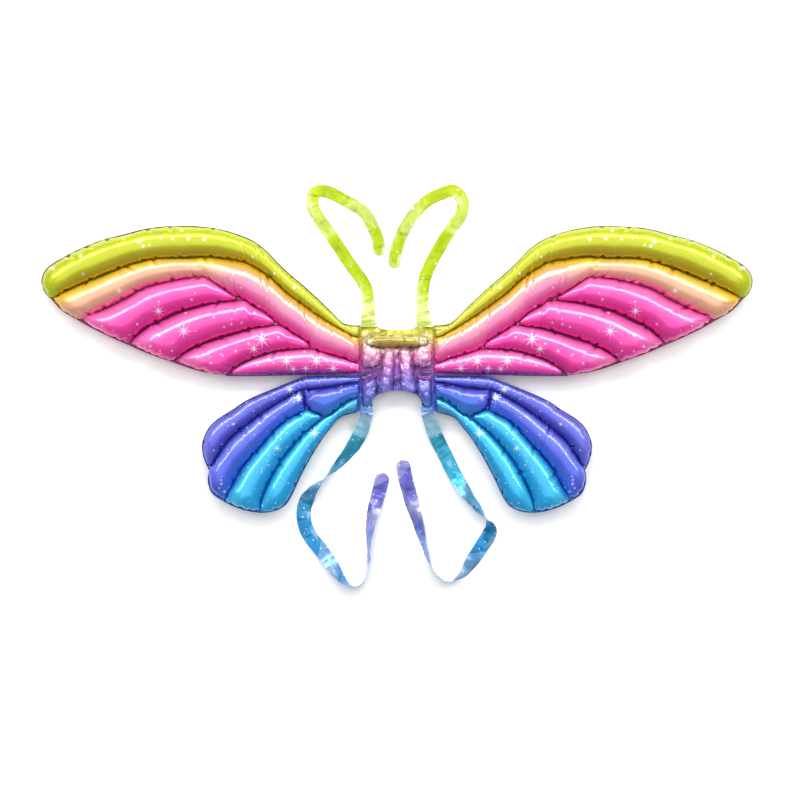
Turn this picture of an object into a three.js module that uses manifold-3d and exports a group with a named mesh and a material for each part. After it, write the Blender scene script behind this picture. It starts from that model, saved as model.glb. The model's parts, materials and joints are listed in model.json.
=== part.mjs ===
// Inflatable fairy wings, laid on a table printed face up: air chambers of film joined by
// heat-sealed seams, a body between the wings, and four flat film straps.
// Millimetres. X is across the wings, Y is up the wearer's back, Z is up off the table.
import * as THREE from "three";
import { mergeVertices } from "three/addons/utils/BufferGeometryUtils.js";
import Module from "manifold-3d";

const wasm = await Module();
wasm.setup();

// Driving dimensions
const WING_REACH = 491; // from the middle to the tip of an upper wing
const WING_RISE = 198.8; // from the middle up to the top of an upper wing
const WING_DROP = 196.8; // from the middle down to the foot of a lower wing
const FATNESS = 0.375; // half of a chamber's thickness, as a share of its width
const FILM_WALL = 1.1; // wall of a chamber; the real film is far thinner
const SEAM = 1.7; // from a seam's middle line to the chamber beside it
const SHEET = 0.6; // thickness of the heat-sealed film between the chambers
const GAP = 0.3; // clearance between touching pieces
const LEVEL = 21.3; // height of the seams over the table
const HINGE = 50; // the wings fold on lines this far either side of the middle
const WING_ROOT = HINGE + 0.4; // the wings' film starts beside the fold line
const BODY_EDGE = HINGE - 0.3; // the body's film ends on the other side of it
const DRAWN = { root: 50.4, reach: 491, rise: 198.8, drop: 196.8 }; // of the seam lines below
const PORT = 1.6; // width of the air passage into each chamber
const STRAP_WIDTH = 17;
const LOWER_STRAP_WIDTH = 20;
const UPPER_ROOT_WIDTH = 19;
const LOWER_ROOT_WIDTH = 15.6;
const STRAP_FILM = 0.5;
const ROWS = 4; // facets across a chamber's skin
const UPPER_ROOT = 59; // the Y at which the upper straps fold
const LOWER_ROOT = -58;
const VALVE_WIDTH = 9;
const VALVE_LENGTH = 42;

const YELLOW = "#cfe000";
const PEACH = "#e8b890";
const PINK = "#ea3aa4";
const PURPLE = "#7a5cc4";
const VIOLET = "#5a58c8";
const BLUE = "#3f66d4";
const SKY = "#1c9ade";
const CYAN = "#12a8e0";
const LILAC = "#c98ad0";

const toPoints = (list) => list.map(([x, y]) => new THREE.Vector3(x, y, 0));
const spline = (...list) => new THREE.CatmullRomCurve3(toPoints(list), false, "centripetal");
const seam = (...lists) => spline(...sized(lists.flat()));
const lerp = (a, b, t) => a.clone().lerp(b, t);

// A drawn seam line at the wing's own size: its root stays by the body, which doesn't grow
function sized(list) {
  return list.map(([x, y]) => {
    const out = (x - DRAWN.root) / (DRAWN.reach - DRAWN.root);
    const tall = y > 0 ? WING_RISE / DRAWN.rise : WING_DROP / DRAWN.drop;
    const grown = Math.min(1, Math.max(0, 8 * out));
    return [WING_ROOT + out * (WING_REACH - WING_ROOT), y * (1 + (tall - 1) * grown)];
  });
}

// Seam lines of the wing on the +X side, each from the root outwards
const leadingEdge = [
  [50.4, 60.5], [66, 61.6], [75.5, 64.5], [90.6, 79], [110, 98], [130, 116], [151, 134],
  [166, 148], [181.5, 164.5], [199.7, 178], [218, 186], [242, 193.3], [266, 197.3],
  [293.6, 198.8], [321, 198], [351, 194], [381.5, 186], [409, 179], [439, 166.7], [460, 156],
  [475.5, 147], [486, 138], [491, 127], [490.6, 117], [486, 107], [477, 97.5],
];
const firstSeam = [
  [50.4, 45.5], [60, 46.5], [78.5, 56.5], [105.8, 73], [130, 90], [151, 105.5], [172.4, 125],
  [193.6, 139.7], [208.8, 148], [236, 153.3], [260, 156], [293.6, 154.6], [318, 154.4],
  [339, 153], [363, 147], [393.6, 136], [424, 123.6], [454, 111.5], [477, 98.5],
];
const armSeam = [[50.4, 6.5], [69.4, 14.5], [90.6, 20.6]];
const armToSecond = [[115, 28.8], [127, 40.3], [145, 51]];
const armToThird = [[163.3, 62.4], [181.5, 78], [199.7, 88.8]];
const armToElbow = [[212, 97.3], [224, 102.4], [239, 111.5], [252, 120], [266, 128.3]];
const secondSeam = [
  [283, 127.6], [302.7, 125], [327, 119.7], [351, 112.4], [378.5, 97.3], [409, 82.7], [439, 70.5],
];
const thirdSeam = [
  [212, 97.3], [224, 95.8], [254, 91.8], [278.5, 85.8], [302.7, 79], [327, 67.6], [348, 57],
  [371, 36.5],
];
const fourthSeam = [
  [163.3, 62.4], [181, 60], [199.7, 57], [227, 49.4], [242, 44.8], [266, 36.7], [287.6, 26.7],
  [309, 11.5],
];
const fifthSeam = [
  [115, 28.8], [142, 28.2], [163.3, 26], [184.5, 20.6], [205.8, 13], [224, 3], [236, -6.5],
];
const upperHem = [[50.4, -3.6], [90.6, -5], [151, -6.4], [193.6, -7.4], [236, -7.4]];
const upperOutline = [
  ...leadingEdge, [463, 82.7], [445, 72], [424, 60], [399.7, 48], [372, 35.8], [345, 24],
  [312, 12.4], [281.5, 1.8], [260, -3.6], ...upperHem.toReversed(),
];

const lowerShoulder = [
  [50.4, -9.6], [90, -9.2], [129, -10.6], [138, -14], [156, -20.6], [174.5, -28.4],
  [192.7, -35.7], [211, -44.6], [225.5, -54.5], [247, -68], [258, -78], [265.5, -91],
  [269, -103.6], [268, -116], [264.3, -128], [259.2, -138.5],
];
const sixthSeam = [[50.4, -17], [74.5, -20.6], [98, -24.8], [118, -27.4], [131, -28.2]];
const seventhSeam = [
  [143.6, -33.5], [154.5, -39.5], [169, -48], [183.6, -58], [202, -71.5], [220, -85.5],
  [234.5, -99], [247, -118], [258.4, -138.5],
];
const innerSeam = [[101, -64.5], [110, -60.5], [118, -57], [125.5, -54.5]];
const eighthSeam = [
  [138, -61], [151, -68], [163.6, -78], [172.7, -87], [187, -103.6], [202, -120], [216, -138],
  [228, -160], [238.3, -180],
];
const neckSeam = [[50.4, -37.5], [65.5, -42], [76, -49], [89, -59], [101, -65.5]];
const ninthSeam = [
  [116, -77], [131, -90], [147, -108], [162, -127], [171, -143], [181, -163], [188, -182],
  [190, -195.8],
];
const lowerHem = [
  [55, -57.5], [62, -59.5], [71, -61.5], [82, -67], [91, -78], [100, -89], [111, -105.5],
  [123.6, -127], [136, -151], [147, -174.5], [152.7, -183.6], [160, -190], [174.5, -195.5],
  [190, -196.8],
];
const lobeEnds = [
  [261, -149], [259.6, -160], [254.5, -171], [238.6, -181.5], [225.5, -188], [207, -194.2],
];
const lowerOutline = [...lowerShoulder, ...lobeEnds, ...lowerHem.toReversed(), [50.4, -56]];

// A closed solid from a grid of points: an upper skin, and a lower skin if the grid has one
function closedSolid(columns, rows, upper, lower) {
  const across = rows + 1;
  const position = [];
  const face = [];
  const rim = (i, j) => i === 0 || j === 0 || i === columns || j === rows;
  const first = [];
  const second = [];
  for (let i = 0; i <= columns; i++) {
    for (let j = 0; j <= rows; j++) {
      first.push(position.length / 3);
      position.push(...upper(i / columns, j / rows).toArray());
      if (rim(i, j)) second.push(first[first.length - 1]);
      else {
        second.push(position.length / 3);
        position.push(...lower(i / columns, j / rows).toArray());
      }
    }
  }
  for (let i = 0; i < columns; i++) {
    for (let j = 0; j < rows; j++) {
      const a = i * across + j;
      const [b, c, d] = [a + 1, a + across, a + across + 1];
      // The diagonal of each corner quad ends at the corner, so no face lies flat in the rim
      const pair = i < columns / 2 === j < rows / 2 ? [a, b, d, a, d, c] : [a, b, c, b, d, c];
      face.push(...pair.map((k) => first[k]));
      face.push(...pair.toReversed().map((k) => second[k]));
    }
  }
  return solidFrom(position, face);
}

// Turns the faces outwards if the grid ran the other way round
function solidFrom(position, face) {
  const vertProperties = new Float32Array(position);
  const make = (list) =>
    new wasm.Manifold(
      new wasm.Mesh({ numProp: 3, vertProperties, triVerts: new Uint32Array(list) }),
    );
  const made = make(face);
  return made.volume() > 0 ? made : make(face.toReversed());
}

function geometryFrom(solid) {
  const { vertProperties, triVerts, numProp, numVert } = solid.getMesh();
  const position = new Float32Array(numVert * 3);
  for (let i = 0; i < numVert; i++) {
    position.set(vertProperties.subarray(i * numProp, i * numProp + 3), i * 3);
  }
  const geometry = new THREE.BufferGeometry();
  geometry.setAttribute("position", new THREE.BufferAttribute(position, 3));
  geometry.setIndex(new THREE.BufferAttribute(triVerts, 1));
  return geometry;
}

function meshOf(name, geometry, color) {
  const film = new THREE.MeshStandardMaterial({ color, roughness: 0.22, metalness: 0.35 });
  film.flatShading = true;
  const mesh = new THREE.Mesh(geometry, film);
  mesh.name = name;
  return mesh;
}

function manifoldOf(geometry) {
  const bare = new THREE.BufferGeometry();
  bare.setAttribute("position", geometry.attributes.position);
  bare.setIndex(geometry.index);
  const merged = mergeVertices(bare, 1e-3);
  return solidFrom(merged.attributes.position.array, Array.from(merged.index.array));
}

// The flat area of a chamber between two seam lines, and its seam-to-seam width
class Cell {
  constructor(topLine, bottomLine, end) {
    this.top = topLine;
    this.bottom = bottomLine;
    this.end = end;
    this.length = (topLine.getLength() + bottomLine.getLength()) / 2;
    this.columns = Math.round(4.5 + this.length / 38);
    this.from = this.margin(0, 1);
    this.to = 1 - this.margin(1, -1);
  }

  width(s) {
    return this.top.getPointAt(s).distanceTo(this.bottom.getPointAt(s));
  }

  // The width square to the cell's own direction
  girth(s) {
    const [a, b] = [this.top.getPointAt(s), this.bottom.getPointAt(s)];
    const way = this.top.getTangentAt(s).add(this.bottom.getTangentAt(s)).normalize();
    return Math.abs(b.sub(a).cross(way).z);
  }

  // How far along the cell starts, so that a pointed end is cut where it is wide enough
  margin(start, way) {
    let s = 0;
    while (this.width(start + way * s) < 3 * SEAM) s += 0.004;
    return s + SEAM / this.length;
  }

  // A point of the cell, with its rim moved in by the distance from the seams' middle lines
  point(s, t, inset) {
    const along = this.from + (this.to - this.from) * s;
    const shift = Math.min(0.44, inset / this.width(along));
    const side = shift + (1 - 2 * shift) * t;
    const p = lerp(this.top.getPointAt(along), this.bottom.getPointAt(along), side);
    if (this.end) {
      const straight = lerp(this.top.getPointAt(1), this.bottom.getPointAt(1), side);
      const bulge = this.end.getPointAt(side).sub(straight);
      p.add(bulge.multiplyScalar(along ** 8));
    }
    return p;
  }

  // Half of the chamber's thickness at a point
  height(s, t, wall) {
    const along = this.from + (this.to - this.from) * s;
    const wide = this.girth(along);
    const toEnd = Math.min(s, 1 - s) * this.length;
    const rise = Math.min(1, toEnd / (0.45 * wide));
    const round = Math.sqrt(1 - (1 - rise) ** 2) * Math.sqrt(Math.max(0, 4 * t * (1 - t)));
    const full = FATNESS * wide * round;
    const slope = 0.9 * Math.max(0, Math.abs(this.point(s, t, SEAM).x - HINGE) - 1);
    const low = Math.abs(this.point(s, t, SEAM).x + HINGE) - 1;
    const limit = Math.max(0.01, Math.min(slope, 0.9 * low));
    const height = (full * limit) / Math.hypot(full, limit);
    return Math.max(0, height - wall);
  }

  skin(wall) {
    const inset = SEAM + 1.4 * wall;
    const ends = (1.4 * wall) / this.length;
    const at = (up) => (u, v) => {
      const p = this.point(ends + (1 - 2 * ends) * spread(u), rounded(v), inset);
      p.z = LEVEL + up * this.height(spread(u), rounded(v), wall);
      return p;
    };
    return closedSolid(this.columns, ROWS, at(1), at(-1));
  }

  // The rim of the cell, widened by the clearance, as a block to cut out of the sealed film
  cutter() {
    const list = [];
    const add = (u, v) => {
      const p = this.point(spread(u), rounded(v), SEAM);
      list.push(new THREE.Vector2(p.x, p.y));
    };
    for (let i = 0; i < this.columns; i++) add(i / this.columns, 0);
    for (let j = 0; j < ROWS; j++) add(1, j / ROWS);
    for (let i = this.columns; i > 0; i--) add(i / this.columns, 1);
    for (let j = ROWS; j > 0; j--) add(0, j / ROWS);
    return slab(widen(list, GAP), 3 * SHEET);
  }
}

// Stations along a cell, closer together at its two ends, and across it, closer at its rims
const spread = (u) => 0.55 * u + 0.225 * (1 - Math.cos(Math.PI * u));
const rounded = (v) => (1 - Math.cos(Math.PI * v)) / 2;

// A flat block with this outline, centred on the height of the seams
function slab(outline, thickness) {
  const shape = new THREE.ExtrudeGeometry(new THREE.Shape(outline), {
    depth: thickness,
    bevelEnabled: false,
    curveSegments: 1,
  });
  shape.translate(0, 0, LEVEL - thickness / 2);
  return manifoldOf(shape);
}

// Moves a closed list of points outwards along its corners' bisectors
function widen(list, by) {
  const sign = THREE.ShapeUtils.isClockWise(list) ? 1 : -1;
  return list.map((p, i) => {
    const before = list[(i + list.length - 1) % list.length];
    const after = list[(i + 1) % list.length];
    const a = p.clone().sub(before).normalize();
    const b = after.clone().sub(p).normalize();
    const out = new THREE.Vector2(-(a.y + b.y), a.x + b.x).normalize().multiplyScalar(sign);
    const cosine = Math.max(0.5, Math.abs(out.x * -a.y + out.y * a.x));
    return p.clone().addScaledVector(out, by / cosine);
  });
}

// A chamber is hollow, and a slot through its rim lets the air in from the next one
function chamber(name, color, cell, port) {
  const outer = cell.skin(0);
  const inner = cell.skin(FILM_WALL);
  const edge = cell.point(port.at, port.side, SEAM);
  const middle = cell.point(port.at, 0.5, SEAM);
  const slot = new THREE.BoxGeometry(port.depth ?? 12, port.width ?? PORT, 1.1);
  slot.rotateZ(Math.atan2(edge.y - middle.y, edge.x - middle.x));
  slot.translate(edge.x, edge.y, LEVEL);
  const hollow = outer.subtract(inner).subtract(manifoldOf(slot));
  return meshOf(name, geometryFrom(hollow), color);
}

function sealedFilm(name, color, outline, cells) {
  const film = cells.reduce((left, cell) => left.subtract(cell.cutter()), slab(outline, SHEET));
  return meshOf(name, geometryFrom(film), color);
}

const outlineOf = (list, count) =>
  spline(...list).getSpacedPoints(count).map((p) => new THREE.Vector2(p.x, p.y));

// A port on the top seam line (side 0) or the bottom one (side 1)
const upperCells = {
  leading: [seam(leadingEdge), seam(firstSeam), null, YELLOW, { at: 0.93, side: 1 }],
  arm: [
    seam(firstSeam),
    seam(armSeam, armToSecond, armToThird, armToElbow, secondSeam),
    null, PEACH, { at: 0.93, side: 0 },
  ],
  feather_a: [seam(armToElbow, secondSeam), seam(thirdSeam), null, PINK, { at: 0.15, side: 0 }],
  feather_b: [seam(armToThird, thirdSeam), seam(fourthSeam), null, PINK, { at: 0.15, side: 0 }],
  feather_c: [seam(armToSecond, fourthSeam), seam(fifthSeam), null, PINK, { at: 0.15, side: 0 }],
  feather_d: [seam(armSeam, fifthSeam), seam(upperHem), null, PINK, { at: 0.3, side: 0 }],
};
const lowerCells = {
  lobe_a: [seam(lowerShoulder), seam(sixthSeam, seventhSeam), null, VIOLET, { at: 0.3, side: 1 }],
  lobe_b: [
    seam([[131, -28.2]], seventhSeam), seam([[125.5, -54.5]], eighthSeam),
    seam([[258.4, -138.5], ...lobeEnds.slice(0, 3), [238.3, -180]]), VIOLET, { at: 0.05, side: 0 },
  ],
  lobe_c: [
    seam(innerSeam, eighthSeam), seam([[101, -65.5]], ninthSeam),
    seam([[238.3, -180], ...lobeEnds.slice(3), [190, -195.8]]), SKY, { at: 0.15, side: 0 },
  ],
  lobe_d: [seam(neckSeam, ninthSeam), seam(lowerHem), null, CYAN, { at: 0.3, side: 0 }],
  inner_cell: [
    seam(sixthSeam), seam(neckSeam),
    seam([[131, -28.2], [123.5, -41], [124, -52], [112, -59.5], [101, -64.5]]),
    BLUE, { at: 0.5, side: 0 },
  ],
};

function wing(side, level, table, outline, count) {
  const group = new THREE.Group();
  const cells = Object.entries(table).map(([name, [top, bottom, end, color, port]]) => {
    const cell = new Cell(top, bottom, end);
    group.add(chamber(`${level}_${name}_${side}`, color, cell, port));
    return cell;
  });
  const color = level === "upper" ? PINK : VIOLET;
  group.add(sealedFilm(`${level}_seal_${side}`, color, outlineOf(sized(outline), count), cells));
  if (side === "left") group.scale.x = -1;
  return group;
}

// The body: collar, two lobes beside the middle weld, and two knots by each wing root
const collar = new Cell(
  spline([-44, 43], [-29, 46.5], [0, 47.5], [29, 46.5], [44, 43]),
  spline([-44, 34], [-29, 30.5], [0, 29.5], [29, 30.5], [44, 34]),
);
const lobe = new Cell(
  spline([23, 27], [24, 16], [24, 0], [24.5, -14], [22, -31]),
  spline([4.5, 27], [4, 14], [3.4, -2], [3.8, -16], [5, -27]),
);
const upperKnot = new Cell(
  spline([26, 27], [34, 30], [42, 32.5], [BODY_EDGE - 1, 40]),
  spline([26, 1.5], [34, 0.5], [42, 0.5], [BODY_EDGE - 1, 2]),
);
const lowerKnot = new Cell(
  spline([26, -12], [34, -11], [42, -10.5], [BODY_EDGE - 1, -10]),
  spline([24, -32.5], [31, -38], [36, -42.5], [BODY_EDGE - 1, -42]),
);
const bodyOutline = [
  ["L", BODY_EDGE, 59.6], ["L", 29, 58.6], ["S", 0, 52.5], ["L", -29, 58.6], ["L", -BODY_EDGE, 59.6],
  ["L", -BODY_EDGE, -1.5], ["S", -31, -4.5], ["L", -BODY_EDGE, -9], ["L", -BODY_EDGE, -58.3],
  ["L", -33.5, -58.3], ["L", -34.5, -45], ["S", -27, -34], ["S", 0, -28.6], ["S", 27, -34],
  ["L", 34.5, -45], ["L", 33.5, -58.3], ["L", BODY_EDGE, -58.3], ["L", BODY_EDGE, -9],
  ["S", 31, -4.5], ["L", BODY_EDGE, -1.5],
];

// Corners stay sharp where they are marked L, and the line between is smooth through each S
function bodyEdge() {
  const list = [];
  let run = [bodyOutline[0]];
  for (const corner of [...bodyOutline.slice(1), bodyOutline[0]]) {
    run.push(corner);
    if (corner[0] === "S") continue;
    const part = outlineOf(run.map(([, x, y]) => [x, y]), run.length > 2 ? 12 : 2);
    list.push(...part.slice(0, -1));
    run = [corner];
  }
  return list;
}

function mirrored(cell) {
  const flip = (curve) => spline(...curve.points.map((p) => [-p.x, p.y]));
  return new Cell(flip(cell.top), flip(cell.bottom));
}

function body() {
  const group = new THREE.Group();
  const filling = { at: 0.985, side: 0.5, width: VALVE_WIDTH + 1, depth: 14 };
  const pieces = {
    body_collar: [collar, "#c8c070", { at: 0.5, side: 1 }],
    body_lobe_right: [lobe, LILAC, filling],
    body_lobe_left: [mirrored(lobe), LILAC, { at: 0.5, side: 1 }],
    body_upper_knot_right: [upperKnot, "#e884b4", { at: 0.3, side: 1 }],
    body_upper_knot_left: [mirrored(upperKnot), "#e884b4", { at: 0.3, side: 1 }],
    body_lower_knot_right: [lowerKnot, PURPLE, { at: 0.3, side: 0 }],
    body_lower_knot_left: [mirrored(lowerKnot), PURPLE, { at: 0.3, side: 0 }],
  };
  for (const [name, [cell, color, port]] of Object.entries(pieces)) {
    group.add(chamber(name, color, cell, port));
  }
  const cells = Object.values(pieces).map(([cell]) => cell);
  group.add(sealedFilm("body_seal", PURPLE, bodyEdge(), cells));
  return group;
}

// A strap is a flat strip along its own middle line: turned on its edge where it twists
function strap(name, color, width, rootWidth, stations) {
  const middle = new THREE.CatmullRomCurve3(
    stations.map(([x, y, turn, drop]) => {
      const up = (width / 2) * Math.abs(Math.sin(THREE.MathUtils.degToRad(turn)));
      return new THREE.Vector3(x, y, Math.max(up + STRAP_FILM, drop ?? 0));
    }),
    false,
    "centripetal",
  );
  const turns = new THREE.CatmullRomCurve3(
    stations.map(([, , turn], i) => new THREE.Vector3(i, turn, 0)),
  );
  const steps = 2 * (stations.length - 1);
  const length = middle.getLength();
  const cuts = Array.from({ length: steps }, (_, i) => i / steps);
  for (const left of [0.4, 0.15, 0.03, 0]) cuts.push(1 - (left * width) / length);
  const position = [];
  cuts.forEach((u, i) => {
    const p = middle.getPoint(u);
    const along = middle.getTangent(u);
    const flat = new THREE.Vector3(along.y, -along.x, 0).normalize();
    if (i === 0) flat.set(1, 0, 0);
    const turn = THREE.MathUtils.degToRad(turns.getPoint(u).y);
    const across = flat.multiplyScalar(Math.cos(turn)).add(new THREE.Vector3(0, 0, Math.sin(turn)));
    const normal = across.clone().cross(along).normalize().multiplyScalar(STRAP_FILM / 2);
    const toTip = Math.min(1, (2 * (1 - u) * length) / width + 0.02);
    const fromRoot = Math.min(1, (u * length) / 30);
    const wide = rootWidth + (width - rootWidth) * fromRoot;
    const half = across.multiplyScalar((wide / 2) * Math.sqrt(1 - (1 - toTip) ** 2));
    for (const [a, b] of [[1, 1], [-1, 1], [-1, -1], [1, -1]]) {
      const q = p.clone().addScaledVector(half, a).addScaledVector(normal, b);
      position.push(q.x, q.y, Math.max(q.z, 0));
    }
  });
  const last = position.length / 3 - 4;
  const face = [0, 1, 2, 0, 2, 3];
  for (let i = 0; i < last / 4; i++) {
    for (let k = 0; k < 4; k++) {
      const [a, b] = [4 * i + k, 4 * i + ((k + 1) % 4)];
      face.push(a, a + 4, b, b, a + 4, b + 4);
    }
  }
  face.push(last, last + 2, last + 1, last, last + 3, last + 2);
  return meshOf(name, geometryFrom(solidFrom(position, face)), color);
}

// Stations of a strap: x, y, its turn about its own length in degrees, height where it hangs
const straps = [
  ["upper_strap_left", YELLOW, STRAP_WIDTH, UPPER_ROOT_WIDTH, [
    [-39, UPPER_ROOT + 1.3, 0, LEVEL], [-39.5, 72, 0, 14], [-40.4, 90, 0, 5], [-42, 110, 0],
    [-49, 126, 0], [-64, 146, 0], [-80, 170, 0], [-96, 194, 0], [-110, 214, 0], [-118, 231, 0],
    [-114, 247, 0], [-100, 249.5, 0], [-84, 243, 0], [-70, 235, 0], [-53, 226, 0],
    [-41, 214, 0], [-32, 196, 0], [-26, 178, 0], [-24.4, 160, 0],
  ]],
  ["upper_strap_right", YELLOW, STRAP_WIDTH, UPPER_ROOT_WIDTH, [
    [38, UPPER_ROOT + 1.3, 0, LEVEL], [37, 72, 0, 14], [35, 90, 0, 5], [35.6, 108, 0],
    [39, 128, 0], [46, 146, 0], [61, 174, 0], [76, 198, 0], [89, 216, 0], [91, 236, 0],
    [80, 250, 0], [62, 246, 0], [42, 236, 0], [23, 217, 0], [10, 196, 0], [0, 172, 0],
    [-5, 142, 0],
  ]],
  ["lower_strap_left", CYAN, LOWER_STRAP_WIDTH, LOWER_ROOT_WIDTH, [
    [-41.6, LOWER_ROOT - 1, 0, LEVEL], [-45, -72, 0, 14], [-52, -90, 10, 8], [-65, -111, 30],
    [-85, -135, 60], [-100, -150, 90], [-119, -170, 140], [-129, -190, 180], [-129, -212, 180],
    [-122, -230, 180], [-106, -250, 190], [-89, -273, 215], [-74, -293, 245], [-60, -301, 270],
    [-46, -294, 270], [-40, -270, 262], [-39, -240, 250], [-37, -215, 230], [-31, -190, 205],
    [-24, -165, 185], [-19, -143, 180],
  ]],
  ["lower_strap_right", CYAN, LOWER_STRAP_WIDTH, LOWER_ROOT_WIDTH, [
    [41.6, LOWER_ROOT - 1, 0, LEVEL], [46, -72, 0, 14], [54, -92, 0, 7], [67, -118, 5],
    [80, -144, 15], [96, -170, 35], [112, -191, 60], [125, -207, 95], [130, -222, 150],
    [119, -244, 180], [105, -265, 200], [90, -285, 240], [71, -295, 270], [54, -284, 270],
    [42, -258, 255], [32, -222, 230], [21, -185, 200], [12, -152, 185], [7, -125, 180],
  ]],
];

// The self-sealing valve: two inner films in a body lobe, open at the bottom arch
function valveFilm(name, up) {
  const mouth = lobe.point(1, 0.5, 0);
  const inside = lobe.point(0.3, 0.5, SEAM);
  const geometry = new THREE.BoxGeometry(VALVE_LENGTH, VALVE_WIDTH, 0.25);
  geometry.translate(VALVE_LENGTH / 2 + 0.8, 0, 0);
  geometry.rotateZ(Math.atan2(inside.y - mouth.y, inside.x - mouth.x));
  geometry.translate(mouth.x, mouth.y, LEVEL + up * 0.28);
  return meshOf(name, geometry, "#e4e6ea");
}

const wings = new THREE.Group();
for (const side of ["left", "right"]) {
  wings.add(wing(side, "upper", upperCells, upperOutline, 70));
  wings.add(wing(side, "lower", lowerCells, lowerOutline, 56));
}
wings.add(body());
for (const entry of straps) wings.add(strap(...entry));
wings.add(valveFilm("valve_film_front", 1), valveFilm("valve_film_back", -1));

// The origin is under the middle of the whole object
const box = new THREE.Box3().setFromObject(wings, true);
const centre = box.getCenter(new THREE.Vector3());
wings.position.set(-centre.x, -centre.y, -box.min.z);
const root = new THREE.Group();
root.add(wings);
export default root;
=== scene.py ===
# Inflatable film fairy wings lying on a table, printed face up.
# X runs across the wings, Y up the wearer's back and Z up off the table. Pieces are drawn in
# millimetres from the body's middle. Wings and body chambers are mirrored for the left side.
import json
import math

import bpy
import numpy as np
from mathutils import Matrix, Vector
from mathutils.geometry import delaunay_2d_cdt


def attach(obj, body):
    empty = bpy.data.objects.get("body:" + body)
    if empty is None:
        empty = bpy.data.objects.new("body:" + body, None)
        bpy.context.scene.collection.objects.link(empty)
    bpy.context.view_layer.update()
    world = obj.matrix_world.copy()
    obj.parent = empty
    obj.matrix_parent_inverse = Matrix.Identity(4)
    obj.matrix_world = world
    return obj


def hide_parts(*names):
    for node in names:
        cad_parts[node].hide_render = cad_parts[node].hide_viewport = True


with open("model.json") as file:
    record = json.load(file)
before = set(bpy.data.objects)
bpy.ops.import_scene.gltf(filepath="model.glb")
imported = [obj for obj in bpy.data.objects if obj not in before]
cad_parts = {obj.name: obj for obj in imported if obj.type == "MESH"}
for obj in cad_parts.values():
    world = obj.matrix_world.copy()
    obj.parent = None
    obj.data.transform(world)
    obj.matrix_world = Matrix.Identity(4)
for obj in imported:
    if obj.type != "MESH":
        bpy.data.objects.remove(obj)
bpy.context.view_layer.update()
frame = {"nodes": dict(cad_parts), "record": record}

MM = 0.001
joints = {j["name"]: j for j in frame["record"]["behaviour"]["joints"]}
fold = joints["upper_wing_right_fold"]["pos_m"]
ORIGIN = np.array([0.0, fold[1] - 0.030])  # the body's own middle, in the row frame
LEVEL = fold[2]  # height of the seams over the table

# Sizes in millimetres
HINGE = 50.0  # how far out the wings fold
SEAM = 1.7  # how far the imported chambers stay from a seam's middle line
WELD = 0.6  # half the width of the pressed line between two chambers
SKIN_OVER_TABLE = 0.25
BODY_CORNER, WING_CORNER = 8.0, 13.0  # rounding of the ends that lie at a fold
FOLD_GAP = 0.35  # between a skin and the fold line
NO_END = 1e3  # stands for the distance to an end that runs out in a point
SIDE_DRAW, END_DRAW = 8, 13  # how far in from a seam or an end the film is drawn together

FATNESS = 0.375  # half of a chamber's thickness as a share of its width
ARC = 1.3  # a chamber's blown-up skin beside its width
WALL_SLOPE = 2.0  # the steepest that a skin rises from a fold line


# ---------------------------------------------------------------- seam lines, in millimetres

def unit(arrows):
    return arrows / np.linalg.norm(arrows, axis=-1, keepdims=True)


class Seam:
    """A smooth line through a few points, measured by its own length from the root outwards."""

    def __init__(self, *points):
        self.points = [tuple(p) for p in points]
        p = np.array(points, float)
        run = np.vstack([2 * p[0] - p[1], p, 2 * p[-1] - p[-2]])
        fine = [p[:1]]
        for a, b, c, d in zip(run, run[1:], run[2:], run[3:]):
            ta, tb, tc = (max(1e-4, np.linalg.norm(v)) ** 0.5 for v in (b - a, c - b, d - c))
            t1, t2, t3 = ta, ta + tb, ta + tb + tc
            t = np.linspace(t1, t2, 13)[1:, None]
            a1 = (t1 - t) / t1 * a + t / t1 * b
            a2 = (t2 - t) / tb * b + (t - t1) / tb * c
            a3 = (t3 - t) / tc * c + (t - t2) / tc * d
            b1 = (t2 - t) / t2 * a1 + t / t2 * a2
            b2 = (t3 - t) / (t3 - t1) * a2 + (t - t1) / (t3 - t1) * a3
            fine.append((t2 - t) / tb * b1 + (t - t1) / tb * b2)
        self.fine = np.vstack(fine)
        step = np.linalg.norm(np.diff(self.fine, axis=0), axis=1)
        self.at = np.concatenate([[0], np.cumsum(step)])
        self.length = self.at[-1]

    def __call__(self, share):
        """Points at these shares of the line's length."""
        where = np.clip(np.asarray(share, float), 0, 1) * self.length
        return np.stack([np.interp(where, self.at, c) for c in self.fine.T], axis=-1)

    def tangent(self, share):
        share = np.asarray(share, float)
        return unit(self(np.minimum(1, share + 0.004)) - self(np.maximum(0, share - 0.004)))


LEADING_EDGE = [
    (50.4, 60.5), (66, 61.6), (75.5, 64.5), (90.6, 79), (110, 98), (130, 116), (151, 134),
    (166, 148), (181.5, 164.5), (199.7, 178), (218, 186), (242, 193.3), (266, 197.3),
    (293.6, 198.8), (321, 198), (351, 194), (381.5, 186), (409, 179), (439, 166.7), (460, 156),
    (475.5, 147), (486, 138), (491, 127), (490.6, 117), (486, 107), (477, 97.5),
]
FIRST_SEAM = [
    (50.4, 45.5), (60, 46.5), (78.5, 56.5), (105.8, 73), (130, 90), (151, 105.5), (172.4, 125),
    (193.6, 139.7), (208.8, 148), (236, 153.3), (260, 156), (293.6, 154.6), (318, 154.4),
    (339, 153), (363, 147), (393.6, 136), (424, 123.6), (454, 111.5), (477, 98.5),
]
ARM_SEAM = [(50.4, 6.5), (69.4, 14.5), (90.6, 20.6)]
ARM_TO_SECOND = [(115, 28.8), (127, 40.3), (145, 51)]
ARM_TO_THIRD = [(163.3, 62.4), (181.5, 78), (199.7, 88.8)]
ARM_TO_ELBOW = [(212, 97.3), (224, 102.4), (239, 111.5), (252, 120), (266, 128.3)]
SECOND_SEAM = [
    (283, 127.6), (302.7, 125), (327, 119.7), (351, 112.4), (378.5, 97.3), (409, 82.7),
    (439, 70.5),
]
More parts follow.
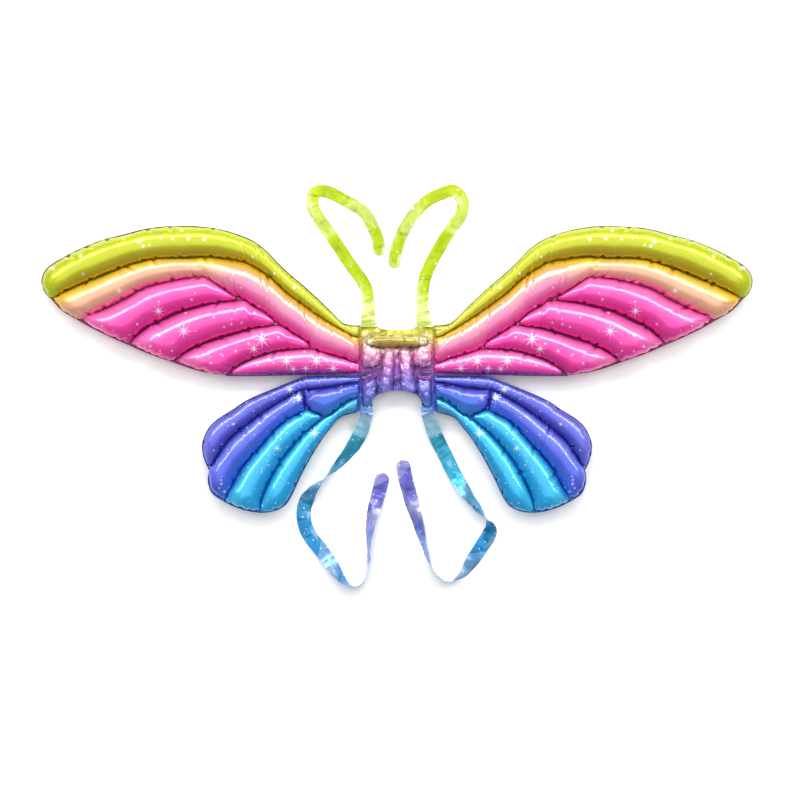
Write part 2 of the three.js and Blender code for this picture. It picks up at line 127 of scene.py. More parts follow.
THIRD_SEAM = [
    (212, 97.3), (224, 95.8), (254, 91.8), (278.5, 85.8), (302.7, 79), (327, 67.6), (348, 57),
    (371, 36.5),
]
FOURTH_SEAM = [
    (163.3, 62.4), (181, 60), (199.7, 57), (227, 49.4), (242, 44.8), (266, 36.7), (287.6, 26.7),
    (309, 11.5),
]
FIFTH_SEAM = [
    (115, 28.8), (142, 28.2), (163.3, 26), (184.5, 20.6), (205.8, 13), (224, 3), (236, -6.5),
]
UPPER_HEM = [(50.4, -3.6), (90.6, -5), (151, -6.4), (193.6, -7.4), (236, -7.4)]
FEATHER_ENDS = [
    (463, 82.7), (445, 72), (424, 60), (399.7, 48), (372, 35.8), (345, 24), (312, 12.4),
    (281.5, 1.8), (260, -3.6),
]
SHOULDER = [
    (50.4, -9.6), (90, -9.2), (129, -10.6), (138, -14), (156, -20.6), (174.5, -28.4),
    (192.7, -35.7), (211, -44.6), (225.5, -54.5), (247, -68), (258, -78), (265.5, -91),
    (269, -103.6), (268, -116), (264.3, -128), (259.2, -138.5),
]
SIXTH_SEAM = [(50.4, -17), (74.5, -20.6), (98, -24.8), (118, -27.4), (131, -28.2)]
SEVENTH_SEAM = [
    (143.6, -33.5), (154.5, -39.5), (169, -48), (183.6, -58), (202, -71.5), (220, -85.5),
    (234.5, -99), (247, -118), (258.4, -138.5),
]
INNER_SEAM = [(101, -64.5), (110, -60.5), (118, -57), (125.5, -54.5)]
INNER_END = [(128.5, -41), (125.5, -54), (112.5, -59.5)]
EIGHTH_SEAM = [
    (138, -61), (151, -68), (163.6, -78), (172.7, -87), (187, -103.6), (202, -120), (216, -138),
    (228, -160), (238.3, -180),
]
NECK_SEAM = [(50.4, -37.5), (65.5, -42), (76, -49), (89, -59), (101, -65.5)]
NINTH_SEAM = [
    (116, -77), (131, -90), (147, -108), (162, -127), (171, -143), (181, -163), (188, -182),
    (190, -195.8),
]
LOWER_HEM = [
    (55, -57.5), (62, -59.5), (71, -61.5), (82, -67), (91, -78), (100, -89), (111, -105.5),
    (123.6, -127), (136, -151), (147, -174.5), (152.7, -183.6), (160, -190), (174.5, -195.5),
    (190, -196.8),
]
LOBE_ENDS = [
    (261, -149), (259.6, -160), (254.5, -171), (238.6, -181.5), (225.5, -188), (207, -194.2),
]
UPPER_OUTLINE = LEADING_EDGE + FEATHER_ENDS + UPPER_HEM[::-1]
LOWER_OUTLINE = SHOULDER + LOBE_ENDS + LOWER_HEM[::-1] + [(50.4, -56)]


# ---------------------------------------------------------------- air chambers

class Cell:
    """The flat area of a chamber between its upper and its lower seam, and its fullness."""

    def __init__(self, upper, lower, end=None):
        self.upper, self.lower, self.end = Seam(*upper), Seam(*lower), end and Seam(*end)
        self.length = (self.upper.length + self.lower.length) / 2
        self.start = self.margin(0, 1)
        self.stop = 1 - self.margin(1, -1)
        self.blunt_root = self.width(0) > 4 * SEAM
        self.blunt_tip = self.width(1) > 4 * SEAM

    def width(self, s):
        return np.linalg.norm(self.upper(s) - self.lower(s), axis=-1)

    def girth(self, s):
        """Width square to the chamber's own direction."""
        gap = self.lower(s) - self.upper(s)
        way = unit(self.upper.tangent(s) + self.lower.tangent(s))
        return np.abs(gap[..., 0] * way[..., 1] - gap[..., 1] * way[..., 0])

    def margin(self, end, way):
        s = 0.0
        while self.width(end + way * s) < 3 * SEAM:
            s += 0.004
        return s + WELD / self.length

    def place(self, s, t, inset=WELD):
        """Points of the flat area, with its rim moved in from the seams' middle lines."""
        along = self.start + (self.stop - self.start) * s
        shift = np.minimum(0.44, inset / self.width(along))
        for end, away in ((0.0, s), (1.0, 1 - s)):
            if self.upper(end)[0] < HINGE + 1:
                corner = BODY_CORNER if self.upper(end)[0] < HINGE else WING_CORNER
                corner = min(corner, 0.45 * float(self.width(end)))
                left = 1 - np.minimum(1, away * self.length / corner)
                shift = 0.5 - (0.5 - shift) * (0.42 + 0.58 * np.sqrt(1 - left ** 2))
        side = (shift + (1 - 2 * shift) * t)[..., None]
        p = self.upper(along) * (1 - side) + self.lower(along) * side
        if self.end:
            straight = self.upper(1.0) * (1 - side) + self.lower(1.0) * side
            bulge = self.end(side[..., 0]) - straight
            p = p + bulge * (along ** 8)[..., None]
        return p

    def fullness(self, s, v):
        """Half of the chamber's thickness where the skin has turned by v of a half circle."""
        along = self.start + (self.stop - self.start) * s
        wide = self.girth(along)
        rise = np.clip(np.minimum(s, 1 - s) * self.length / (0.45 * wide), 0, 1)
        full = FATNESS * wide * np.sqrt(1 - (1 - rise) ** 2) * np.sin(np.pi * v)
        x = self.place(s, (1 - np.cos(np.pi * v)) / 2)[..., 0]
        limit = np.maximum(0.01, 1.9 * np.maximum(0, np.abs(np.abs(x) - HINGE) - 0.7))
        return full * limit / np.hypot(full, limit)

    def grid(self, pitch):
        """The inflated front skin as a grid of points, near enough square."""
        self.long = max(8, round((self.stop - self.start) * self.length / pitch))
        self.wide = max(8, round(ARC * float(self.girth(0.5)) / pitch / 2) * 2)
        s, v = np.meshgrid(
            np.linspace(0, 1, self.long + 1), np.linspace(0, 1, self.wide + 1), indexing="ij"
        )
        t = (1 - np.cos(np.pi * v)) / 2
        self.s, self.v = s, v
        self.to_side = ARC * self.girth(s) * np.minimum(v, 1 - v)
        self.to_end = np.full(s.shape, NO_END)
        if self.blunt_root:
            self.to_end = s * self.length
        if self.blunt_tip:
            self.to_end = np.minimum(self.to_end, (1 - s) * self.length)
        self.from_seam = np.minimum(self.to_side, self.to_end)
        return np.concatenate([self.place(s, t), self.fullness(s, v)[..., None]], axis=-1)


def film_edges(cell, skin, first):
    """The threads of a chamber's film, and how long each would be if it were laid out flat."""
    rows, cols = skin.shape[:2]
    number = first + np.arange(rows * cols).reshape(rows, cols)
    near_seam = np.exp(-(cell.to_side / SIDE_DRAW) ** 2)
    near_end = np.exp(-(cell.to_end / END_DRAW) ** 2)
    families = []
    for di, dj, slack, squeeze in (
        (1, 0, 0.006 + 0.022 * near_seam, 0.4),
        (0, 1, 0.004 + 0.10 * near_end, 0.5),
        (1, 1, 0.015 + 0.015 * near_seam + 0.05 * near_end, 0.15),
        (1, -1, 0.015 + 0.015 * near_seam + 0.05 * near_end, 0.15),
        (2, 0, 0.006 + 0.018 * near_seam, 0.05),
        (0, 2, 0.06 * near_end, 0.05),
    ):
        j0 = 1 if dj < 0 else 0
        here = (slice(0, rows - di), slice(j0, cols - max(0, dj)))
        there = (slice(di, rows), slice(j0 + dj, cols - max(0, dj) + dj))
        rest = np.linalg.norm(skin[there] - skin[here], axis=-1) * (1 + slack[here])
        turn = (np.arange(rows)[:, None] if di else np.arange(cols)[None, :]) // max(di, abs(dj))
        turn = np.broadcast_to(turn, (rows, cols))[here] % 2
        families.append((number[here], number[there], rest, turn, squeeze))
    return families


STEPS, TIGHTENINGS = 70, 3  # of the film solver, the second within each step
AIR_PUSH = 0.16  # how far the air moves the film in one step, in millimetres
KEPT_EARLY, KEPT_LATE = 0.93, 0.8  # share of its speed that the film keeps from step to step
CALM_FROM = 0.6  # share of the steps after which the film is calmed


def inflate(cells, pitch, seed):
    """Blows up all chambers together: film that hardly stretches, held at its seams."""
    noise = np.random.default_rng(seed)
    skins = [cell.grid(pitch) for cell in cells]
    starts = np.concatenate([[0], np.cumsum([s.shape[0] * s.shape[1] for s in skins])])
    x = np.concatenate([s.reshape(-1, 3) for s in skins])
    held = np.zeros(len(x), bool)
    groups = {}
    left, right, below, above = [], [], [], []
    for cell, skin, first in zip(cells, skins, starts):
        rows, cols = skin.shape[:2]
        number = first + np.arange(rows * cols).reshape(rows, cols)
        for rim in (number[0], number[-1], number[:, 0], number[:, -1]):
            held[rim] = True
        left.append(number[:-2, 1:-1].ravel())
        right.append(number[2:, 1:-1].ravel())
        below.append(number[1:-1, :-2].ravel())
        above.append(number[1:-1, 2:].ravel())
        for k, (a, b, rest, turn, squeeze) in enumerate(film_edges(cell, skin, first)):
            for odd in (0, 1):
                pick = turn == odd
                groups.setdefault((k, odd), []).append(
                    (a[pick], b[pick], rest[pick], np.full(pick.sum(), squeeze))
                )
    groups = [tuple(np.concatenate(c) for c in zip(*g)) for g in groups.values()]
    left, right, below, above = (np.concatenate(c) for c in (left, right, below, above))
    free = np.flatnonzero(~held)
    loose = np.where(held, 0.0, 1.0)
    x[free] += noise.normal(0, 0.35, (len(free), 3)) * [0.3, 0.3, 1]
    before = x.copy()
    for step in range(STEPS):
        speed = (x - before) * (KEPT_EARLY if step < STEPS * CALM_FROM else KEPT_LATE)
        before = x.copy()
        n = np.cross(x[right] - x[left], x[above] - x[below])
        n *= np.sign(n[:, 2:3] + 1e-9) / (np.linalg.norm(n, axis=1, keepdims=True) + 1e-9)
        x[free] += speed[free] + AIR_PUSH * n
        for _ in range(TIGHTENINGS):
            for a, b, rest, squeeze in groups:
                gap = x[b] - x[a]
                size = np.linalg.norm(gap, axis=1) + 1e-9
                off = (size - rest) / size
                off *= np.where(off > 0, 1.0, squeeze)
                share = loose[a] + loose[b]
                move = gap * (off / np.maximum(share, 1))[:, None]
                x[a] += move * loose[a][:, None]
                x[b] -= move * loose[b][:, None]
        x[:, 2] = np.maximum(x[:, 2], 0.02 * loose)
    return [x[a:b].reshape(s.shape) for s, a, b in zip(skins, starts, starts[1:])]


def finer(cell, skin, long, wide):
    """The same skin with more points each way, still rounded between the old ones."""
    def doubled(a, times):
        if times < 2:
            return a
        run = np.concatenate([2 * a[:1] - a[1:2], a, 2 * a[-1:] - a[-2:-1]])
        p, q, r, t = run[:-3], run[1:-2], run[2:-1], run[3:]
        out = np.empty((2 * len(a) - 1,) + a.shape[1:])
        out[::2], out[1::2] = a, (9 * (q + r) - p - t) / 16
        return out
    across = lambda a: np.swapaxes(doubled(np.swapaxes(a, 0, 1), wide), 0, 1)
    for name in ("s", "v", "from_seam"):
        setattr(cell, name, across(doubled(getattr(cell, name), long)))
    return across(doubled(skin, long))


def gather(cell, skin, spacing, seed, rings=()):
    """Sharp creases from the seams into the chamber, where flat film is drawn in as it fills."""
    noise = np.random.default_rng(seed)
    normal = np.cross(np.gradient(skin, axis=0), np.gradient(skin, axis=1))
    normal *= np.sign(normal[..., 2:] + 1e-9)
    normal /= np.linalg.norm(normal, axis=-1, keepdims=True) + 1e-9
    run = cell.s * cell.length
    girth = ARC * cell.girth(cell.s)
    sunk = np.zeros(run.shape)

    def crease(off, away, reach, size):
        fade = np.clip(1 - away / reach, 0, 1) * np.clip(away / 1.5, 0, 1)
        narrow = 1.2 + 0.10 * away
        return size * fade * (
            np.exp(-np.abs(off) / narrow) - 0.3 * np.exp(-((np.abs(off) - 6) / 3.5) ** 2)
        )

    for share, gap in ((cell.v, spacing[0]), (1 - cell.v, spacing[1])):
        away = girth * share
        at = noise.uniform(0, gap)
        while at < cell.length:
            room = 0.5 * float(cell.girth(at / cell.length))
            reach = min(noise.uniform(9, 30), room)
            slant = noise.uniform(-0.45, 0.45)
            depth = noise.uniform(0.07, 0.15) * min(26, 2 * room)
            sunk += crease(run - at - slant * away, away, reach, depth)
            at += gap * noise.uniform(0.45, 1.6)
    for blunt, away in ((cell.blunt_root, run), (cell.blunt_tip, cell.length - run)):
        if not blunt:
            continue
        for place in np.arange(0.12, 0.9, 7.5 / max(9, float(np.median(girth)))):
            place += noise.uniform(-0.05, 0.05)
            off = girth * (cell.v - place) - noise.uniform(-0.4, 0.4) * away
            sunk += crease(off, away, noise.uniform(9, 26), noise.uniform(0.9, 2.6))
    for ring in rings:  # a sharp valley with a low swell on both sides
        off = np.abs(run - ring - noise.uniform(-0.12, 0.12) * girth * (cell.v - 0.5))
        sunk += 0.85 * np.exp(-off / 1.1) * np.clip(cell.from_seam / 3, 0, 1)
        sunk -= 0.22 * np.exp(-((off - 4) / 2.5) ** 2)
    for _ in range(5):  # broad, shallow unevenness
        long, wide = noise.uniform(0.04, 0.12), noise.uniform(-0.08, 0.08)
        phase = noise.uniform(0, 6)
        swell = np.sin(run * long + girth * cell.v * wide + phase)
        sunk += 0.10 * np.clip(cell.from_seam / 6, 0, 1) * swell
    firm = np.clip(skin[..., 2] / 3, 0, 1)
    return skin - normal * (sunk * firm)[..., None]


def to_row(points, side=1):
    """From the drawing's millimetres, height from the seams, to the row frame's metres."""
    p = np.array(points, float) * MM
    p[..., 0] *= side
    p[..., :2] += ORIGIN
    p[..., 2] += LEVEL
    return p


def new_mesh(name, points, faces, attributes):
    mesh = bpy.data.meshes.new(name)
    mesh.from_pydata([tuple(p) for p in points], [], faces)
    for key, values in attributes.items():
        layer = mesh.attributes.new(key, "FLOAT_VECTOR", "POINT")
        layer.data.foreach_set("vector", np.asarray(values, np.float32).ravel())
    mesh.polygons.foreach_set("use_smooth", [True] * len(mesh.polygons))
    mesh.update()
    piece = bpy.data.objects.new(name, mesh)
    bpy.context.scene.collection.objects.link(piece)
    return piece


def grid_faces(number):
    return np.stack(
        [number[:-1, :-1], number[1:, :-1], number[1:, 1:], number[:-1, 1:]], axis=-1
    )


def skin_faces(number):
    """Faces of a grid of points. Each corner face is cut in two through its inner point, so
    that no triangle of the front lies on one of the back."""
    faces = grid_faces(number)
    inside = np.ones(faces.shape[:2], bool)
    halves = []
    for i in (0, -1):
        for j in (0, -1):
            inside[i, j] = False
            a, b, c, d = faces[i, j].tolist()
            halves += [[a, b, c], [a, c, d]] if i == j else [[b, c, d], [b, d, a]]
    return faces[inside].tolist() + halves


def chamber_piece(name, cell, skin, side, material):
    """Front and back skins of one chamber, closed along its rim."""
    rows, cols = skin.shape[:2]
    back = skin.copy()
    floor = LEVEL / MM - SKIN_OVER_TABLE
    back[..., 2] = -floor * np.tanh((skin[..., 2] / floor) ** 4) ** 0.25
    rim = np.zeros((rows, cols), bool)
    rim[[0, -1]] = rim[:, [0, -1]] = True
    number = np.arange(rows * cols).reshape(rows, cols)
    other = number.copy()
    other[~rim] = rows * cols + np.arange((~rim).sum())
    points = np.concatenate([skin.reshape(-1, 3), back[~rim]])
    notes = np.stack([cell.s * cell.length * MM, cell.v, cell.from_seam * MM], axis=-1)
    notes = np.concatenate([notes.reshape(-1, 3), notes[~rim]])
    faces = skin_faces(number) + [face[::-1] for face in skin_faces(other)]
    up = np.cross(skin[1, 0, :2] - skin[0, 0, :2], skin[0, 1, :2] - skin[0, 0, :2])
    if (side < 0) != (up < 0):
        faces = [face[::-1] for face in faces]
    piece = new_mesh(name, to_row(points, side), faces, {"cell": notes})
    piece.data.materials.append(material)
    return piece


# ---------------------------------------------------------------- printed film and its painted shade and sheen, as shader nodes

def operator(operation, reflected=False):
    """A Math node written as an operator on values and numbers."""
    if reflected:
        return lambda value, other: value.finish.math(operation, other, value)
    return lambda value, *others: value.finish.math(operation, value, *others)


class Value:
    """A socket of a finish, with the arithmetic of single numbers written as an expression."""

    def __init__(self, finish, socket):
        self.finish, self.socket = finish, socket

    __add__ = __radd__ = operator("ADD")
    __sub__, __rsub__ = operator("SUBTRACT"), operator("SUBTRACT", reflected=True)
    __mul__ = __rmul__ = operator("MULTIPLY")
    __truediv__ = operator("DIVIDE")
    __gt__ = operator("GREATER_THAN")
    __abs__ = operator("ABSOLUTE")
    or_more = operator("MAXIMUM")
    or_less = operator("MINIMUM")

    def clipped(self):
        return self.or_more(0.0).or_less(1.0)


class Finish:
    """A film material while its nodes are laid down."""

    def __init__(self, name):
        self.material = bpy.data.materials.new(name)
        self.material.use_nodes = True
        self.tree = self.material.node_tree
        self.tree.nodes.clear()

    def add(self, kind, settings=None, sockets=None, output=0):
        node = self.tree.nodes.new("ShaderNode" + kind)
        for key, setting in (settings or {}).items():
            if key == "stops":
                lay_stops(node.color_ramp, setting)
            else:
                setattr(node, key, setting)
        for key, value in (sockets or {}).items():
            if isinstance(value, Value):
                self.tree.links.new(value.socket, node.inputs[key])
            else:
                node.inputs[key].default_value = value
        return Value(self, node.outputs[output]) if node.outputs else node

    def math(self, operation, *values):
        return self.add("Math", {"operation": operation}, dict(enumerate(values)))

    def vector(self, operation, *values, output=0):
        return self.add("VectorMath", {"operation": operation}, dict(enumerate(values)), output)

    def parts(self, vector):
        split = self.add("SeparateXYZ", sockets={0: vector}).socket.node
        return [Value(self, out) for out in split.outputs]

    def joined(self, x, y, z=0.0):
        return self.add("CombineXYZ", sockets={0: x, 1: y, 2: z})

    def noise(self, where, scale, detail):
        return self.add("TexNoise", None, {"Vector": where, "Scale": scale, "Detail": detail})

    def mottle(self, along, across, seed, detail):
        """Noise that is long one way, laid along a chamber or a ribbon."""
        return self.noise(self.joined(along, across, seed), 1.0, detail)

    def bands(self, feature, along, output):
        """Bands of uneven width across a chamber or a ribbon."""
        return self.add(
            "TexVoronoi", {"voronoi_dimensions": "1D", "feature": feature},
            {"W": along, "Scale": 1.0, "Randomness": 1.0}, output,
        )

    def ramp(self, along, stops):
        return self.add("ValToRGB", {"stops": stops}, {0: along})

    def spread(self, value, low, high, to_low=0.0, to_high=1.0):
        return self.add(
            "MapRange", {"clamp": True},
            {"Value": value, "From Min": low, "From Max": high, "To Min": to_low,
             "To Max": to_high},
        )

    def tinted(self, share, a, b, blend="MIX"):
        """Colour a turning to b by this share."""
        return self.add(
            "Mix", {"data_type": "RGBA", "blend_type": blend}, {0: share, 6: a, 7: b}, output=2
        )

    def film(self, colour, roughness, metallic, height, depth, coat=0.0):
        bump = self.add("Bump", sockets={"Strength": 1.0, "Distance": depth, "Height": height})
        shader = self.add(
            "BsdfPrincipled",
            sockets={
                "Base Color": colour, "Roughness": roughness, "Metallic": metallic,
                "Normal": bump, "IOR": 1.5, "Specular IOR Level": 0.4, "Coat Weight": coat,
                "Coat Roughness": 0.06,
            },
        )
        self.add("OutputMaterial", sockets={"Surface": shader})
        return self.material


def lay_stops(ramp, stops):
    ramp.interpolation = "EASE"
    stops = sorted(stops)
    ramp.elements[0].position, ramp.elements[1].position = stops[0][0], stops[-1][0]
    ramp.elements[0].color, ramp.elements[1].color = ink(stops[0][1]), ink(stops[-1][1])
    for place, colour in stops[1:-1]:
        ramp.elements.new(place).color = ink(colour)


def ink(code):
    """A printed colour written as six hex digits, in linear light."""
    parts = [int(code[i:i + 2], 16) / 255 for i in (0, 2, 4)]
    return [((c + 0.055) / 1.055) ** 2.4 if c > 0.04 else c / 12.92 for c in parts] + [1.0]


WHITE = ink("FFFFFF")
SILVER = ink("E4E8F0")


def starburst(f, place, x, y, reach):
    """An eight-pointed star printed with its middle here: four long rays and four short."""
    centre = (x * MM, y * MM + ORIGIN[1], 0.0)
    across, up, _ = f.parts(f.vector("ABSOLUTE", f.vector("SUBTRACT", place, centre)))
    a, b = across / (reach * MM), up / (reach * MM)
    long = (1 - a - b * 12).or_more(1 - b - a * 12)
    lean, off = (a + b) * 0.707, abs(a - b) * 0.707
    short = 1 - lean * 1.1 - off * 13
    middle = 1 - (a + b) * 3.6
    return (long.or_more(short).or_more(middle) * 1.7).clipped() * 0.78


def sprinkle(f, place, pitch, size, share, seed):
    """Printed specks, one to some of the cells of a scattered pattern."""
    cells = f.add(
        "TexVoronoi", {"voronoi_dimensions": "2D", "feature": "F1"},
        {"Vector": f.vector("ADD", place, (seed * 0.37, seed * 0.61, 0.0)),
         "Scale": 1 / (pitch * MM), "Randomness": 0.9},
    ).socket.node
    luck, other, _ = f.parts(Value(f, cells.outputs["Color"]))
    radius = other * (size * 0.7 / pitch) + size * 0.5 / pitch
    spot = f.spread(Value(f, cells.outputs["Distance"]) / radius, 1.0, 0.7)
    return spot * (luck > 1 - share)


def pinches(f, along, across, from_seam, place, seed):
    """Short sharp creases that run from a seam into the chamber, a finger's width apart."""
    wiggle = f.noise(place, 90, 2) * 0.5
    other_side = (across > 0.5) * 17.3
    places = along * 34 + other_side + wiggle + seed
    nearest = f.bands("DISTANCE_TO_EDGE", places, "Distance")
    reach = f.spread(f.mottle(along * 30, other_side, seed, 0), 0.35, 0.7, 0.001, 0.020)
    fade = (1 - from_seam / reach).clipped()
    return f.spread(nearest, 0.0, 0.055, 1.0, 0.0) * fade, fade


def chamber_film(name, stops, tip_stops=None, turn=(0, 1), along=(), up_back=None, stars=(),
                 specks=(16, 1.6, 0.25), dots=(), seed=1, crush=1.0, gloss=0.6):
    """Glossy printed foil of one air chamber, coloured from its upper seam to its lower one with
    its print and painted shade together, and darkened with painted shade along its seams and
    creases.
    """
    f = Finish(name)
    along_cell, across, from_seam = f.parts(
        f.add("Attribute", {"attribute_name": "cell"}, output=1)
    )
    place = f.add("TexCoord", output=3)
    x, y, _ = f.parts(place)
    flat_place = f.joined(abs(x), y)

    drift = f.noise(flat_place, 16, 2) - 0.5
    rise = (across + drift * 0.14).clipped()
    # The stops carry painted shade across the chamber as well as its print.
    colour = f.ramp(rise, stops)
    if up_back:
        height_up = f.spread(y + drift * 0.008, ORIGIN[1] - 0.06, ORIGIN[1] + 0.06)
        body_ink = f.ramp(height_up, [((y_mm + 60) / 120, code) for y_mm, code in up_back])
        colour = f.tinted(1.0, colour, body_ink, "MULTIPLY")
    if tip_stops:
        outwards = f.spread(along_cell + drift * 0.02, *turn)
        colour = f.tinted(outwards, colour, f.ramp(rise, tip_stops))
    for near, far, tone, amount in along:
        share = f.spread(along_cell + drift * 0.03, near, far)
        colour = f.tinted(share * amount, colour, ink(tone))
    crease, near_crease = pinches(f, along_cell, across, from_seam, place, seed)
    # Painted shade: the film is darkened along its seams and in the creases, where they would lie
    # in shade.
    seam_shade = f.spread(from_seam, 0.0, 0.0038, 0.65, 0.0)
    colour = f.tinted((seam_shade + crease * 0.5).clipped(), colour, colour, "MULTIPLY")
    print_marks = sprinkle(f, flat_place, *specks, seed) * 0.6
    for x_dot, y_dot, size in dots:
        centre = (x_dot * MM, y_dot * MM + ORIGIN[1], 0.0)
        gap = f.vector("DISTANCE", flat_place, centre, output="Value")
        print_marks = print_marks.or_more(f.spread(gap, size * MM, size * 0.3 * MM) * 0.5)
    for star in stars:
        print_marks = print_marks.or_more(starburst(f, flat_place, *star))
    colour = f.tinted(print_marks.clipped() * 0.85, colour, SILVER)

    facets = f.mottle(along_cell * 26, across * 2.2, seed + 3, 1)
    ripple = abs(f.mottle(along_cell * 110, across * 1.4, seed + 7, 2) - 0.5)
    ripples = f.spread(ripple, 0.0, 0.12, 1.0, 0.0) * f.spread(from_seam, 0.001, 0.008, 1.0, 0.0)
    height = facets * 1.1 * crush - crease * 0.8 * crush + near_crease * 0.25
    height = height - ripples * 0.07 * crush + f.noise(place, 240, 2) * 0.07
    roughness = f.spread(f.noise(flat_place, 60, 2), 0.3, 0.7, 0.24, 0.34) + print_marks * 0.15
    metallic = 0.40 - print_marks * 0.3
    return f.film(colour, roughness, metallic, height, 0.0013, coat=gloss)


def tinted_film(name, depth, seed, specks=None, sheen_panels=0.0):
    """Film whose print is mixed into its own points: seams, edges and straps, with painted sheen
    and shade laid over it in patches.
    """
    f = Finish(name)
    tint = f.add("Attribute", {"attribute_name": "tint"}, output=1)
    along, across, _ = f.parts(f.add("Attribute", {"attribute_name": "run"}, output=1))
    place = f.add("TexCoord", output=3)
    # Painted sheen and shade: mottled patches of the film turn paler toward white and others
    # darker, standing for light caught and lost on its waviness.
    sheen_patch = f.mottle(along * 28, across * 0.6, seed, 2)
    colour = f.tinted(f.spread(sheen_patch, 0.56, 0.74) * 0.3, tint, WHITE)
    colour = f.tinted(f.spread(sheen_patch, 0.50, 0.34) * 0.4, colour, colour, "MULTIPLY")
    marks = f.spread(abs(f.mottle(along * 240, across * 0.8, seed, 2) - 0.5), 0, 0.05)
    if sheen_panels:
        # Painted sheen and shade in bands along the film: some paler toward white, some darker.
        luck = f.parts(f.bands("F1", along * 26 + across * 0.22 + seed, "Color"))[0]
        colour = f.tinted(f.spread(luck, 0.66, 0.70) * sheen_panels, colour, WHITE)
        colour = f.tinted(f.spread(luck, 0.34, 0.30) * sheen_panels, colour, colour, "MULTIPLY")
        marks = marks * 0.4
    if specks:
        colour = f.tinted(sprinkle(f, place, *specks, seed) * 0.85, colour, SILVER)
    height = marks * -0.12 + f.mottle(along * 60, across * 1.2, seed, 2)
    roughness = f.spread(f.noise(place, 120, 2), 0.3, 0.7, 0.2, 0.34)
    return f.film(colour, roughness, 0.5, height, depth)


# ---------------------------------------------------------------- finishes of the pieces

